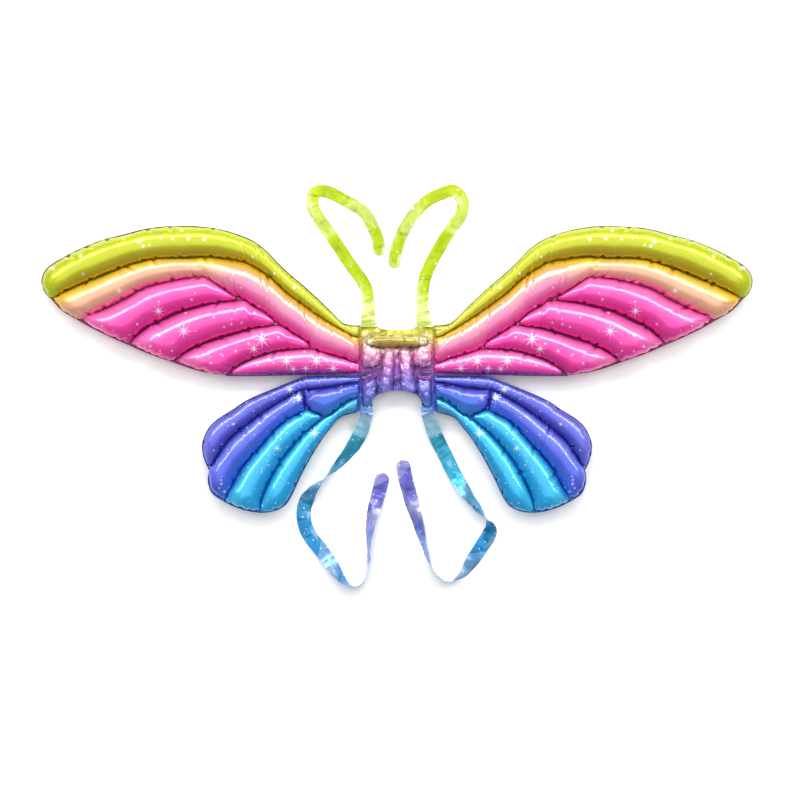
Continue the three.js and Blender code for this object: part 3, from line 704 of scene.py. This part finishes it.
def film_finishes():
    f = {}
    # Each chamber's stops are its print with painted shade laid in: darker at both seams and down
    # the lower side, with a lighter band on the upper side as a painted highlight.
    f["leading"] = chamber_film(
        "film_yellow",
        [(0, "808400"), (0.10, "A4AC00"), (0.32, "B4C008"), (0.52, "ACB400"), (0.66, "A89C00"),
         (0.84, "9C8800"), (1, "6C5C00")],
        along=[(0.10, 0.0, "C8C860", 0.4)], specks=(26, 2.6, 0.3),
        dots=[(265, 180, 4), (287, 181, 4), (309, 180, 3), (355, 177, 4.5), (341, 172, 3),
              (436, 157, 4), (474, 140, 4)],
    )
    f["arm"] = chamber_film(
        "film_peach",
        [(0, "BC9000"), (0.12, "E0B000"), (0.24, "D8A858"), (0.38, "DC9890"), (0.54, "E078A4"),
         (0.78, "DC3C94"), (1, "901060")],
        tip_stops=[(0, "B89800"), (0.12, "E4BC00"), (0.28, "E0B84C"), (0.46, "DCA484"),
                   (0.66, "CC947C"), (0.84, "D87088"), (1, "A02C78")],
        turn=(0.20, 0.25),
        along=[(0.44, 0.52, "E4DCC0", 0.5)], seed=2,
        specks=(24, 1.6, 0.2), dots=[(283, 97, 3), (383, 109, 4)], gloss=0.45,
    )
    pinks = [(0, "A83080"), (0.1, "DC54A0"), (0.3, "E86CB0"), (0.55, "E03896"), (0.8, "C82084"),
             (1, "780C58")]
    f["feather_a"] = chamber_film(
        "film_pink", pinks, stars=[(328, 81, 13)], dots=[(283, 97, 2.5), (420, 78, 2)], seed=3
    )
    f["feather_b"] = chamber_film(
        "film_pink_second", pinks, stars=[(293, 53, 14), (228, 63, 4), (214, 65, 4)],
        dots=[(238, 59, 2), (252, 72, 2)], seed=4
    )
    f["feather_c"] = chamber_film(
        "film_pink_third", pinks,
        stars=[(186, 42, 17), (197, 29, 13), (222, 26, 5), (204, 36, 5)],
        dots=[(256, 9, 2.5), (240, 20, 2)], seed=5,
    )
    f["feather_d"] = chamber_film(
        "film_pink_fourth",
        [(0, "B03484"), (0.1, "E45CA8"), (0.3, "F078B8"), (0.55, "E4409C"), (0.8, "B83498"),
         (1, "643488")],
        stars=[(111, 12, 16), (152, 12, 16), (88, 2, 13), (143, 1, 10), (126, 2, 10)],
        dots=[(100, 14, 2), (170, 10, 2)], seed=6,
    )
    f["lobe_a"] = chamber_film(
        "film_violet",
        [(0, "34328C"), (0.12, "4C4EBC"), (0.3, "6C72D4"), (0.55, "4C50C0"), (0.8, "3A3CA4"),
         (1, "202470")],
        stars=[(148, -27, 13), (226, -75, 5)], specks=(9, 1.1, 0.3), seed=7,
    )
    f["lobe_b"] = chamber_film(
        "film_violet_second",
        [(0, "3234A0"), (0.12, "4C54C8"), (0.3, "6270DC"), (0.55, "4054C8"), (0.8, "2860CC"),
         (1, "1C4CA8")],
        stars=[(136, -38, 13)], specks=(9, 1.1, 0.3),
        dots=[(242, -157, 2.5), (238, -168, 2.5), (245, -163, 2), (250, -172, 2)], seed=8,
    )
    f["lobe_c"] = chamber_film(
        "film_sky",
        [(0, "2060B8"), (0.14, "248CD0"), (0.32, "34B0DC"), (0.6, "0C98D0"), (0.85, "0890D0"),
         (1, "0C64A8")],
        stars=[(165, -108, 9)], specks=(9, 1.1, 0.3), seed=9,
    )
    f["lobe_d"] = chamber_film(
        "film_cyan",
        [(0, "1068B0"), (0.12, "1490C8"), (0.32, "34B4DC"), (0.6, "0898D0"), (0.85, "0890CC"),
         (1, "0864A0")],
        along=[(0.05, 0.01, "3080A8", 0.9)], stars=[(114, -87, 14)], specks=(9, 1.0, 0.25), seed=10,
    )
    f["inner_cell"] = chamber_film(
        "film_blue",
        [(0, "34349C"), (0.3, "5056C4"), (0.6, "3460C4"), (0.85, "1C70C0"), (1, "125CA8")],
        specks=(9, 1.0, 0.25), seed=11,
    )
    f["collar"] = chamber_film(
        "film_khaki",
        [(0, "8C8040"), (0.16, "D0C898"), (0.3, "9C9030"), (0.5, "8C7814"), (0.7, "906C48"),
         (1, "583C30")], seed=12, specks=(30, 0.8, 0.1), crush=2.0,
        along=[(0.014, 0.008, "C8B4A0", 0.8), (0.074, 0.080, "C8B4A0", 0.8)],
    )
    body_inks = [
        (-58, "3C94C8"), (-50, "4C7CC8"), (-36, "5C68C4"), (-20, "7C70C4"), (-8, "906CC0"),
        (2, "AC70B8"), (10, "CC84B8"), (20, "E49CBC"), (31, "ECB8BC"), (42, "E4CCA8"),
    ]
    # Painted shade of the body's round chambers: white along their middle, greyer toward both
    # seams, multiplied over the body's print.
    round_shade = [(0, "A8A0B0"), (0.2, "E8E8E8"), (0.5, "FFFFFF"), (0.8, "E0E0E8"), (1, "9890A8")]
    for number, kind in enumerate(("lobe", "upper_knot", "lower_knot")):
        f[kind] = chamber_film(
            f"film_body_{kind}", round_shade, up_back=body_inks, seed=13 + number,
            specks=(22, 0.8, 0.2), crush=2.2, gloss=0.8,
        )
    return f


# ---------------------------------------------------------------- the pieces

def wing_cells():
    elbow = ARM_TO_ELBOW + SECOND_SEAM
    upper = {
        "leading": Cell(LEADING_EDGE, FIRST_SEAM),
        "arm": Cell(
            FIRST_SEAM, ARM_SEAM + ARM_TO_SECOND + ARM_TO_THIRD + elbow,
            FIRST_SEAM[-1:] + FEATHER_ENDS[:2] + SECOND_SEAM[-1:],
        ),
        "feather_a": Cell(
            elbow, THIRD_SEAM, SECOND_SEAM[-1:] + FEATHER_ENDS[2:4] + THIRD_SEAM[-1:]
        ),
        "feather_b": Cell(
            ARM_TO_THIRD + THIRD_SEAM, FOURTH_SEAM,
            [THIRD_SEAM[-1], FEATHER_ENDS[5], FOURTH_SEAM[-1]],
        ),
        "feather_c": Cell(
            ARM_TO_SECOND + FOURTH_SEAM, FIFTH_SEAM,
            FOURTH_SEAM[-1:] + FEATHER_ENDS[7:] + FIFTH_SEAM[-1:],
        ),
        "feather_d": Cell(ARM_SEAM + FIFTH_SEAM, UPPER_HEM),
    }
    lower = {
        "lobe_a": Cell(SHOULDER, SIXTH_SEAM + SEVENTH_SEAM),
        "lobe_b": Cell(
            SIXTH_SEAM[-1:] + SEVENTH_SEAM, INNER_SEAM[-1:] + EIGHTH_SEAM,
            SEVENTH_SEAM[-1:] + LOBE_ENDS[:3] + EIGHTH_SEAM[-1:],
        ),
        "lobe_c": Cell(
            INNER_SEAM + EIGHTH_SEAM, NECK_SEAM[-1:] + NINTH_SEAM,
            EIGHTH_SEAM[-1:] + LOBE_ENDS[3:] + NINTH_SEAM[-1:],
        ),
        "lobe_d": Cell(NECK_SEAM + NINTH_SEAM, LOWER_HEM),
        "inner_cell": Cell(
            SIXTH_SEAM, NECK_SEAM,
            SIXTH_SEAM[-1:] + [(129.5, -41), (126, -53.5), (113, -59.5)] + INNER_SEAM[:1],
        ),
    }
    return upper, lower


def body_cells():
    return {
        "collar": Cell(
            [(-44, 43), (-29, 46.5), (0, 47.5), (29, 46.5), (44, 43)],
            [(-44, 34), (-29, 30.5), (0, 29.5), (29, 30.5), (44, 34)],
        ),
        "lobe": Cell(
            [(18, 29.5), (20, 18), (22.5, 4), (25, -10), (29.5, -36)],
            [(3.6, 29), (3.0, 14), (2.8, -4), (3.6, -17), (6, -29.5)],
        ),
        "upper_knot": Cell(
            [(19.2, 29.5), (30, 31.5), (42, 35.5), (49.5, 42.5)],
            [(23.4, 4.5), (31, 3.0), (42, 2.4), (49.5, 2.0)],
        ),
        "lower_knot": Cell(
            [(25.2, -9.5), (34, -12), (42, -12.6), (49.5, -12)],
            [(29.8, -37), (34, -43), (38, -49), (49.5, -56)],
        ),
    }


# How far apart the creases are on a chamber's upper and lower seam, in millimetres
GATHERS = {
    "leading": (42, 30), "arm": (60, 27), "feather_a": (60, 34), "feather_b": (55, 32),
    "feather_c": (50, 30), "feather_d": (60, 40), "lobe_a": (34, 60), "lobe_b": (48, 60),
    "lobe_c": (48, 55), "lobe_d": (50, 34), "inner_cell": (20, 20), "collar": (13, 11),
    "lobe": (11, 12), "upper_knot": (7, 7), "lower_knot": (7, 8),
}

# Where a crease runs right round a chamber, in millimetres from its root
RINGS = {
    "leading": (96, 140, 180, 203), "arm": (41, 64, 85, 150, 159, 205), "lobe_a": (56, 78),
    "feather_b": (58,), "feather_c": (70,), "lobe_b": (96,), "collar": (12, 76),
}


def blow_up(cells, pitch, seed, fine=(2, 2)):
    kinds, flat = list(cells), list(cells.values())
    skins = inflate(flat, pitch, seed)
    made = []
    for number, (kind, cell, skin) in enumerate(zip(kinds, flat, skins)):
        name = kind if kind in GATHERS else kind.split("_", 1)[1]
        skin = gather(cell, finer(cell, skin, *fine), GATHERS[name], seed + number,
                      RINGS.get(name, ()))
        from_fold = np.abs(np.abs(skin[..., 0]) - HINGE)
        steepest = WALL_SLOPE * np.maximum(0, from_fold - FOLD_GAP)
        skin[..., 2] = np.minimum(skin[..., 2], steepest)
        made.append(skin)
    return made


def add_chamber(name, body, cell, skin, side, material):
    piece = chamber_piece(name + "_film", cell, skin, side, material)
    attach(piece, body)
    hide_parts(name)


class Sheeting:
    """Collects strips and sheets of flat film into one piece."""

    def __init__(self):
        self.points, self.faces, self.tints, self.runs = [], [], [], []

    def add(self, points, faces, tints, runs):
        first = sum(len(p) for p in self.points)
        self.points.append(points)
        self.faces += [[first + k for k in face] for face in faces]
        self.tints.append(tints)
        self.runs.append(runs)

    def strip(self, rows, colours, along, across):
        """A ribbon from rows of points, each row running across it, in one ink or many."""
        count, wide = rows.shape[:2]
        number = np.arange(count * wide).reshape(count, wide)
        faces = grid_faces(number).reshape(-1, 4).tolist()
        runs = np.stack(np.broadcast_arrays(along[:, None] * MM, across, 0.0 * along[:, None]), -1)
        flat = rows.reshape(-1, 3)
        self.add(flat, faces, np.broadcast_to(colours, flat.shape), runs.reshape(-1, 3))

    def piece(self, name, side, material):
        points = to_row(np.concatenate(self.points), side)
        notes = {"tint": np.concatenate(self.tints), "run": np.concatenate(self.runs)}
        piece = new_mesh(name, points, self.faces, notes)
        piece.data.materials.append(material)
        return piece


def faded(where, stops):
    """The ink at each of these places, fading from stop to stop."""
    places = [place for place, _ in stops]
    inks = [ink(code) for _, code in stops]
    return np.stack(
        [np.interp(where, places, [one[k] for one in inks]) for k in range(3)], axis=-1
    )


def filled(outline, pitch):
    """Points and triangles that fill a closed outline."""
    low, high = np.min(outline, axis=0), np.max(outline, axis=0)
    inner = [
        (x, y) for x in np.arange(low[0], high[0], pitch) for y in np.arange(low[1], high[1], pitch)
    ]
    points = [Vector(p) for p in outline] + [Vector(p) for p in inner]
    edges = [(i, (i + 1) % len(outline)) for i in range(len(outline))]
    made, _, faces, *_ = delaunay_2d_cdt(points, edges, [], 1, 0.01)
    flat = np.array([[p.x, p.y, 0.0] for p in made])
    return flat, [list(face) for face in faces]


def followed(line, pitch):
    """Lengths along a line at this pitch, the points there and the directions square to it."""
    seam = Seam(*line)
    share = np.linspace(0, 1, max(4, round(seam.length / pitch)) + 1)
    way = seam.tangent(share)
    return share * seam.length, seam(share), np.stack([-way[:, 1], way[:, 0]], axis=-1)


def weld(sheeting, line, tint, seed, width=1.6, height=0.12):
    """The pressed double line of a heat-sealed seam, puckered along its length."""
    noise = np.random.default_rng(seed)
    along, middle, out = followed(line, 1.5)
    across = np.linspace(-1, 1, 7)
    ridge = np.array([0.15, 1, 0.2, -0.4, 0.2, 1, 0.15]) * height
    waves = sum(
        a * np.sin(along[:, None] * f + p + across * q)
        for a, f, p, q in zip((0.10, 0.08, 0.05), noise.uniform(0.4, 1.6, 3),
                              noise.uniform(0, 6, 3), noise.uniform(-2, 2, 3))
    )
    flat = middle[:, None] + out[:, None] * (across * width / 2)[None, :, None]
    rows = np.concatenate([flat, (ridge + waves)[..., None]], axis=-1)
    sheeting.strip(rows, ink(tint)[:3], along, across)


def border(sheeting, line, tint, seed, inside):
    """The free edge of the film outside the last weld, slightly wavy."""
    noise = np.random.default_rng(seed)
    along, middle, out = followed(line, 1.6)
    steps = np.array([-0.7, -0.3, 0.1, 0.5, 1.0])
    across = (steps + 0.7) / 1.7
    lift = np.cumsum(noise.normal(0, 0.35, len(along)))
    lift = np.convolve(lift - np.linspace(lift[0], lift[-1], len(along)), np.ones(4) / 4, "same")
    lift = np.tanh(lift) * 0.7
    flat = middle[:, None] + (out * inside)[:, None] * steps[None, :, None]
    up = np.array([0.1, 0.5, 0.0, 0.3, 0.0]) * 0.5 + lift[:, None] * across ** 2
    rows = np.concatenate([flat, up[..., None]], axis=-1)
    sheeting.strip(rows, ink(tint)[:3], along, across)


UPPER_WELDS = [
    (FIRST_SEAM, "806C00"), (ARM_SEAM + ARM_TO_SECOND + ARM_TO_THIRD + ARM_TO_ELBOW, "8C1C60"),
    (SECOND_SEAM, "94286C"), (THIRD_SEAM, "80145C"), (FOURTH_SEAM, "80145C"),
    (FIFTH_SEAM, "7C1860"),
]
UPPER_EDGES = [
    (LEADING_EDGE, "6C6800", 1), (LEADING_EDGE[-1:] + FEATHER_ENDS, "801858", 1),
    (UPPER_HEM, "582C80", -1),
]
LOWER_WELDS = [
    (SIXTH_SEAM, "282C80"), (SIXTH_SEAM[-1:] + SEVENTH_SEAM, "24287C"),
    (SIXTH_SEAM[-1:] + INNER_END + INNER_SEAM[:1], "24388C"),
    (INNER_SEAM + EIGHTH_SEAM, "1C4090"), (NECK_SEAM, "1860A0"),
    (NECK_SEAM[-1:] + NINTH_SEAM, "0C5498"),
]
LOWER_EDGES = [
    (SHOULDER, "2C2A80", 1), (SHOULDER[-1:] + LOBE_ENDS + LOWER_HEM[-1:], "1C3C8C", 1),
    (LOWER_HEM, "0A5890", -1),
]


PALE_ROOT = 63  # the film is paler from the fold out to here, in millimetres
# The seals' print by height up the back
UPPER_SEAL_INKS = [
    (-10, "4C2C70"), (2, "701C60"), (30, "801C60"), (40, "8C5430"), (46, "787000"),
    (62, "706A00"), (64, "80245C"), (110, "8C6040"), (160, "706800"),
]
LOWER_SEAL_INKS = [(-196, "0C5C98"), (-120, "1C4490"), (-40, "283080"), (-10, "302C7C")]
BODY_SEAL_INKS = [
    (-60, "5CA0CC"), (-48, "4864BC"), (-34, "4C50B4"), (-20, "6050B0"), (2, "8C50A4"),
    (20, "C878A4"), (30, "B09080"), (38, "B8A878"), (46, "C0B878"), (50, "C4BC50"),
    (55, "B8B020"), (58, "8C8A08"), (60, "787400"),
]


def wing_seal(name, body, outline, welds, edges, side, seed, film, tints):
    sheeting = Sheeting()
    flat, faces = filled(Seam(*outline, outline[0])(np.linspace(0, 1, 260))[:-1], 9.0)
    flat[:, 2] = -0.15
    flat[:, 0] = np.where(flat[:, 0] < HINGE + 0.5, HINGE + 0.03, flat[:, 0])
    colour = faded(flat[:, 1], tints) * np.where(flat[:, :1] < PALE_ROOT, 1.8, 1.0)
    sheeting.add(flat, faces, colour, np.stack([flat[:, 0] * MM, flat[:, 1] / 9, flat[:, 2]], -1))
    for k, (line, tint) in enumerate(welds):
        weld(sheeting, line, tint, seed + k)
    for k, (line, tint, inside) in enumerate(edges):
        border(sheeting, line, tint, seed + 20 + k, inside)
    piece = sheeting.piece(name + "_film", side, film)
    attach(piece, body)
    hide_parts(name)


def make_wings(finishes, film):
    upper, lower = wing_cells()
    cells = {**{f"upper_{k}": c for k, c in upper.items()},
             **{f"lower_{k}": c for k, c in lower.items()}}
    for side, word, seed in ((1, "right", 11), (-1, "left", 29)):
        skins = blow_up(cells, 2.9, seed)
        for (name, cell), skin in zip(cells.items(), skins):
            level, kind = name.split("_", 1)
            add_chamber(f"{name}_{word}", f"{level}_wing_{word}", cell, skin, side,
                        finishes[kind])
        wing_seal(
            f"upper_seal_{word}", f"upper_wing_{word}", UPPER_OUTLINE, UPPER_WELDS, UPPER_EDGES,
            side, seed, film, UPPER_SEAL_INKS,
        )
        wing_seal(
            f"lower_seal_{word}", f"lower_wing_{word}", LOWER_OUTLINE, LOWER_WELDS, LOWER_EDGES,
            side, seed + 50, film, LOWER_SEAL_INKS,
        )


def chance_fold(noise, x, y, low, high):
    """A straight wave in any direction, from -1 to 1, tighter the larger low and high are."""
    way = noise.normal(0, 1, 2)
    way *= noise.uniform(low, high) / np.linalg.norm(way)
    return np.sin(x * way[0] + y * way[1] + noise.uniform(0, 6))


def crumple(skin, depth, seed):
    """Sharp folds in a skin that has more film than it needs."""
    noise = np.random.default_rng(seed)
    x, y = skin[..., 0], skin[..., 1]
    dents = np.zeros(x.shape)
    for size, low, high in ((1.0, 0.10, 0.32), (0.36, 0.4, 0.8)):  # broad folds, then fine
        for _ in range(9):
            dents += size * (np.abs(chance_fold(noise, x, y, low, high)) ** 0.7 - 0.7)
    by_fold = np.clip((HINGE - 2 - np.abs(x)) / 6, 0, 1)
    skin[..., 2] += depth * np.clip(skin[..., 2] / 4, 0, 1) * by_fold * dents


def make_body(finishes, film):
    cells = body_cells()
    names = ["collar", "lobe", "upper_knot", "lower_knot"]
    for side, word, seed in ((1, "right", 5), (-1, "left", 8)):
        skins = blow_up(cells, 1.3, seed, fine=(1, 1))
        for kind, skin in zip(names, skins):
            if kind == "collar" and side < 0:
                continue
            name = "body_collar" if kind == "collar" else f"body_{kind}_{word}"
            crumple(skin, 0.15 if kind == "collar" else 0.75, seed * 7 + len(kind))
            add_chamber(name, "body", cells[kind], skin, side, finishes[kind])
    body_seal(film)


CENTRE_WELD = [(2.2, 29), (1.7, 10), (1.5, -10), (2.0, -28)]
SLIT_CURL = [
    (48.5, -0.4), (39, 0.6), (31.5, -0.6), (28.6, -4.8), (31.5, -9.2), (39, -10.6), (48.5, -10.6),
]
BODY_SIDE = 49.97
BODY_EDGE_LINE = [
    [(BODY_SIDE, 59.7), (28, 59.7)], [(28, 59.7), (24, 57.5), (12, 55.2), (0, 54.5)],
    [(0, 54.5), (-12, 55.2), (-24, 57.5), (-28, 59.7)], [(-28, 59.7), (-BODY_SIDE, 59.7)],
    [(-BODY_SIDE, 59.6), (-BODY_SIDE, -3.4)],
    [(-BODY_SIDE, -3.4), (-32, -4.7), (-BODY_SIDE, -6.6)],
    [(-BODY_SIDE, -6.6), (-BODY_SIDE, -58.3)],
    [(-BODY_SIDE, -58.4), (-33.2, -58.4)], [(-33.2, -58.4), (-34.5, -45)],
    [(-34.5, -45), (-27, -34), (0, -28.6), (27, -34), (34.5, -45)],
    [(34.5, -45), (33.5, -58.3)], [(33.5, -58.3), (BODY_SIDE, -58.3)],
    [(BODY_SIDE, -58.3), (BODY_SIDE, -6.6)],
    [(BODY_SIDE, -6.6), (32, -4.7), (BODY_SIDE, -3.4)], [(BODY_SIDE, -3.4), (BODY_SIDE, 59.6)],
]


def body_seal(film):
    """The flat film of the body, gathered between its knots."""
    noise = np.random.default_rng(3)
    outline = []
    for line in BODY_EDGE_LINE:
        seam = Seam(*line)
        outline += seam(np.linspace(0, 1, max(2, round(seam.length / 2)) + 1))[:-1].tolist()
    flat, faces = filled(outline, 1.6)
    x, y = flat[:, 0], flat[:, 1]
    edge = np.min(np.linalg.norm(flat[:, None, :2] - np.array(outline)[None], axis=-1), axis=1)
    loose = np.clip(edge / 4, 0, 1) * np.where(np.abs(x) > 48.5, 0.2, 1.0)
    for _ in range(22):
        fold = chance_fold(noise, x, y, 0.12, 0.55)
        flat[:, 2] += 0.34 * loose * np.sign(fold) * np.abs(fold) ** 1.4
    # Painted shade: the film by the knots and at the folds is darkened, where it lies in shade
    # between the chambers.
    shaded_by_knots = (np.abs(x) > 16) & (y < 34) & (y > -50) | (np.abs(x) > 48)
    tints = faded(y, BODY_SEAL_INKS) * np.where(shaded_by_knots, 0.6, 1.0)[:, None]
    sheeting = Sheeting()
    sheeting.add(flat, faces, tints, np.stack([x * MM, y / 9, 0 * x], -1))
    for side in (-1, 1):
        weld(sheeting, [(side * x, y) for x, y in CENTRE_WELD], "7A4890", 61 + side, 1.3, 0.25)
        weld(sheeting, [(side * x, y) for x, y in SLIT_CURL], "A058A8", 81 + side, 3.6, 1.5)
    weld(sheeting, [(-44, 32), (-29, 28.6), (0, 27.6), (29, 28.6), (44, 32)], "8A6450", 71, 2, 0.3)
    weld(sheeting, [(-44, 45), (-29, 48.6), (0, 49.4), (29, 48.6), (44, 45)], "B0A440", 72, 2, 0.3)
    piece = sheeting.piece("body_seal_film", 1, film)
    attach(piece, "body")
    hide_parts("body_seal")


STRAP_REST = 0.5  # height of a lying strap's middle over the table, in millimetres
# Each strap's width, its width at the root, and its way from the root: across, up the back, turn
# about its own length in degrees, and height where it hangs from the body
STRAPS = {
    "upper_strap_left": (17, 19, [
        (-39, 60.3, 0, 21.3), (-39.5, 72, 0, 14), (-40.4, 90, 0, 5), (-42, 110, 0),
        (-49, 126, 0), (-64, 146, 0), (-80, 170, 0), (-96, 194, 0), (-110, 214, 0),
        (-118, 231, 0), (-114, 247, 0), (-100, 249.5, 0), (-84, 243, 0), (-70, 235, 0),
        (-53, 226, 0), (-41, 214, 0), (-32, 196, 0), (-26, 178, 0), (-24.4, 160, 0),
    ]),
    "upper_strap_right": (17, 19, [
        (38, 60.3, 0, 21.3), (37, 72, 0, 14), (35, 90, 0, 5), (35.6, 108, 0), (39, 128, 0),
        (46, 146, 0), (61, 174, 0), (76, 198, 0), (89, 216, 0), (91, 236, 0), (80, 250, 0),
        (62, 246, 0), (42, 236, 0), (23, 217, 0), (10, 196, 0), (0, 172, 0), (-5, 142, 0),
    ]),
    "lower_strap_left": (20, 15.6, [
        (-41.6, -59, 0, 21.3), (-45, -72, 0, 14), (-52, -90, 10, 8), (-65, -111, 30),
        (-85, -135, 60), (-100, -150, 90), (-119, -170, 140), (-129, -190, 180),
        (-129, -212, 180), (-122, -230, 180), (-106, -250, 190), (-89, -273, 215),
        (-74, -293, 245), (-60, -301, 270), (-46, -294, 270), (-40, -270, 262),
        (-39, -240, 250), (-37, -215, 230), (-31, -190, 205), (-24, -165, 185),
        (-19, -143, 180),
    ]),
    "lower_strap_right": (20, 15.6, [
        (41.6, -59, 0, 21.3), (46, -72, 0, 14), (54, -92, 0, 7), (67, -118, 5),
        (80, -144, 15), (96, -170, 35), (112, -191, 60), (125, -207, 95), (130, -222, 150),
        (119, -244, 180), (105, -265, 200), (90, -285, 240), (71, -295, 270),
        (54, -284, 270), (42, -258, 255), (32, -222, 230), (21, -185, 200), (12, -152, 185),
        (7, -125, 180),
    ]),
}
STRAP_INKS = {
    "upper": [(0, "B0B85C"), (0.05, "ACC040"), (0.12, "A4BC10"), (0.35, "A0B400"), (0.6, "B0C018"),
              (0.8, "A4B80C"), (1, "9CB000")],
    "lower": [(0, "4C7CC0"), (0.02, "98C4DC"), (0.07, "90C4D8"), (0.085, "3498B4"), (0.2, "2C90B4"),
              (0.35, "2888B8"), (0.5, "2080B8"), (0.515, "4488BC"), (0.62, "4888C0"),
              (0.74, "6484C8"), (0.85, "7074C0"), (0.93, "6464B4"), (1, "5854A0")],
}


def strap_piece(name, width, root_width, stations, film, seed):
    noise = np.random.default_rng(seed)
    turns = np.radians(Seam(*[(i, s[2]) for i, s in enumerate(stations)]).fine[:, 1])
    spine = []
    for x, y, turn, *hang in stations:
        up = width / 2 * abs(math.sin(math.radians(turn)))
        spine.append((x, y, max(up + STRAP_REST, hang[0] if hang else 0)))
    line = Seam(*spine)
    middle, along = line.fine, line.at
    way = unit(np.gradient(middle, axis=0))
    flat = np.stack([way[:, 1], -way[:, 0], 0 * way[:, 0]], axis=-1)
    flat[0] = (1, 0, 0)
    side = unit(flat) * np.cos(turns)[:, None]
    side[:, 2] = np.sin(turns)
    normal = np.cross(side, way)
    to_tip = np.minimum(1, 2 * (line.length - along) / width + 0.02)
    from_root = np.minimum(1, along / 30)
    half = (root_width + (width - root_width) * from_root) / 2 * np.sqrt(1 - (1 - to_tip) ** 2)
    half = half + 1.3 * np.exp(-along / 5)  # flared where it joins the body
    across = np.linspace(-1, 1, 9)
    crinkle = np.zeros((len(along), len(across)))
    for size, low, high in ((0.55, 0.08, 0.2), (0.42, 0.2, 0.5), (0.25, 0.5, 1.2)):
        for _ in range(4):
            slope, phase = noise.uniform(low, high), noise.uniform(0, 6)
            lean = across * noise.uniform(-2, 2)
            crinkle += size * np.sin(along[:, None] * slope + lean + phase)
    crinkle *= 0.4 * np.minimum(1, along / 45)[:, None]
    crinkle += 0.5 * (1 - across ** 2)
    rows = middle[:, None] + side[:, None] * (half[:, None] * across)[..., None]
    rows += normal[:, None] * crinkle[..., None] * np.sign(normal[:, None, 2:] + 0.001)
    lowest = SKIN_OVER_TABLE + 0.1 * (across ** 2)
    rows[..., 2] = np.maximum(rows[..., 2], lowest) - LEVEL / MM
    sheeting = Sheeting()
    level = name.split("_")[0]
    tints = faded(along / line.length, STRAP_INKS[level])
    sheeting.strip(rows, np.repeat(tints, len(across), axis=0), along, across)
    piece = sheeting.piece(name + "_film", 1, film)
    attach(piece, name)
    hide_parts(name)


def valve_finish():
    f = Finish("film_clear")
    place = f.add("TexCoord", output=3)
    haze = f.noise(place, 300, 2)
    colour = f.ramp(haze, [(0.3, "D8DCE4"), (0.7, "F0F2F6")])
    return f.film(colour, f.spread(haze, 0.3, 0.7, 0.2, 0.35), 0.1, haze, 0.0002)


# ---------------------------------------------------------------- camera, table and light

def make_camera():
    lens = bpy.data.cameras.new("camera")
    lens.sensor_width = 36
    height, table_seen = 3.0, 1.1073  # over the seams, and from side to side, in metres
    lens.lens = lens.sensor_width * height / table_seen
    camera = bpy.data.objects.new("camera", lens)
    camera.location = (0.00415, ORIGIN[1] - 0.0415, LEVEL + height)
    bpy.context.scene.collection.objects.link(camera)
    bpy.context.scene.camera = camera


def softbox(name, place, size, watts):
    """A rectangular lamp that faces the middle of the table."""
    lamp = bpy.data.lights.new(name, "AREA")
    lamp.shape = "RECTANGLE"
    lamp.size, lamp.size_y = size
    lamp.energy = watts
    stand = bpy.data.objects.new(name, lamp)
    stand.location = place
    stand.rotation_euler = (-Vector(place)).to_track_quat("-Z", "Y").to_euler()
    bpy.context.scene.collection.objects.link(stand)


def make_studio():
    size = 12.0
    mesh = bpy.data.meshes.new("table")
    corners = [(-size, -size, 0), (size, -size, 0), (size, size, 0), (-size, size, 0)]
    mesh.from_pydata(corners, [], [(0, 1, 2, 3)])
    table = bpy.data.objects.new("table", mesh)
    bpy.context.scene.collection.objects.link(table)
    f = Finish("table_white")
    grain = f.noise(f.add("TexCoord", output=3), 30, 2)
    colour = f.ramp(grain, [(0.3, "FAFAFA"), (0.7, "FDFDFD")])
    table.data.materials.append(f.film(colour, 0.6, 0.0, grain, 0.0001))

    world = bpy.data.worlds.new("studio")
    world.use_nodes = True
    world.node_tree.nodes["Background"].inputs["Color"].default_value = (1, 1, 1, 1)
    world.node_tree.nodes["Background"].inputs["Strength"].default_value = 0.5
    bpy.context.scene.world = world
    softbox("head_softbox", (0, 2.1, 1.9), (3.0, 0.7), 62)
    softbox("top_softbox", (0, 0.3, 3.6), (4.4, 2.8), 50)
    for side in (-1, 1):
        softbox("side_softbox", (side * 1.75, 1.35, 1.9), (1.6, 0.45), 24)
    bpy.context.scene.view_settings.view_transform = "Standard"


make_camera()
make_studio()
FINISHES = film_finishes()
make_wings(FINISHES, tinted_film("film_welds", 0.0006, 4))
make_body(FINISHES, tinted_film("film_body", 0.0007, 5))
STRAP_FILMS = {
    "upper": tinted_film("film_strap_yellow", 0.0005, 6, (17, 1.8, 0.4), sheen_panels=0.09),
    "lower": tinted_film("film_strap_cyan", 0.0005, 7, (11, 1.1, 0.5), sheen_panels=0.09),
}
for number, (strap, (width, root_width, stations)) in enumerate(STRAPS.items()):
    strap_piece(strap, width, root_width, stations, STRAP_FILMS[strap.split("_")[0]], 40 + number)
CLEAR = valve_finish()
for node in ("valve_film_front", "valve_film_back"):
    frame["nodes"][node].data.materials[0] = CLEAR
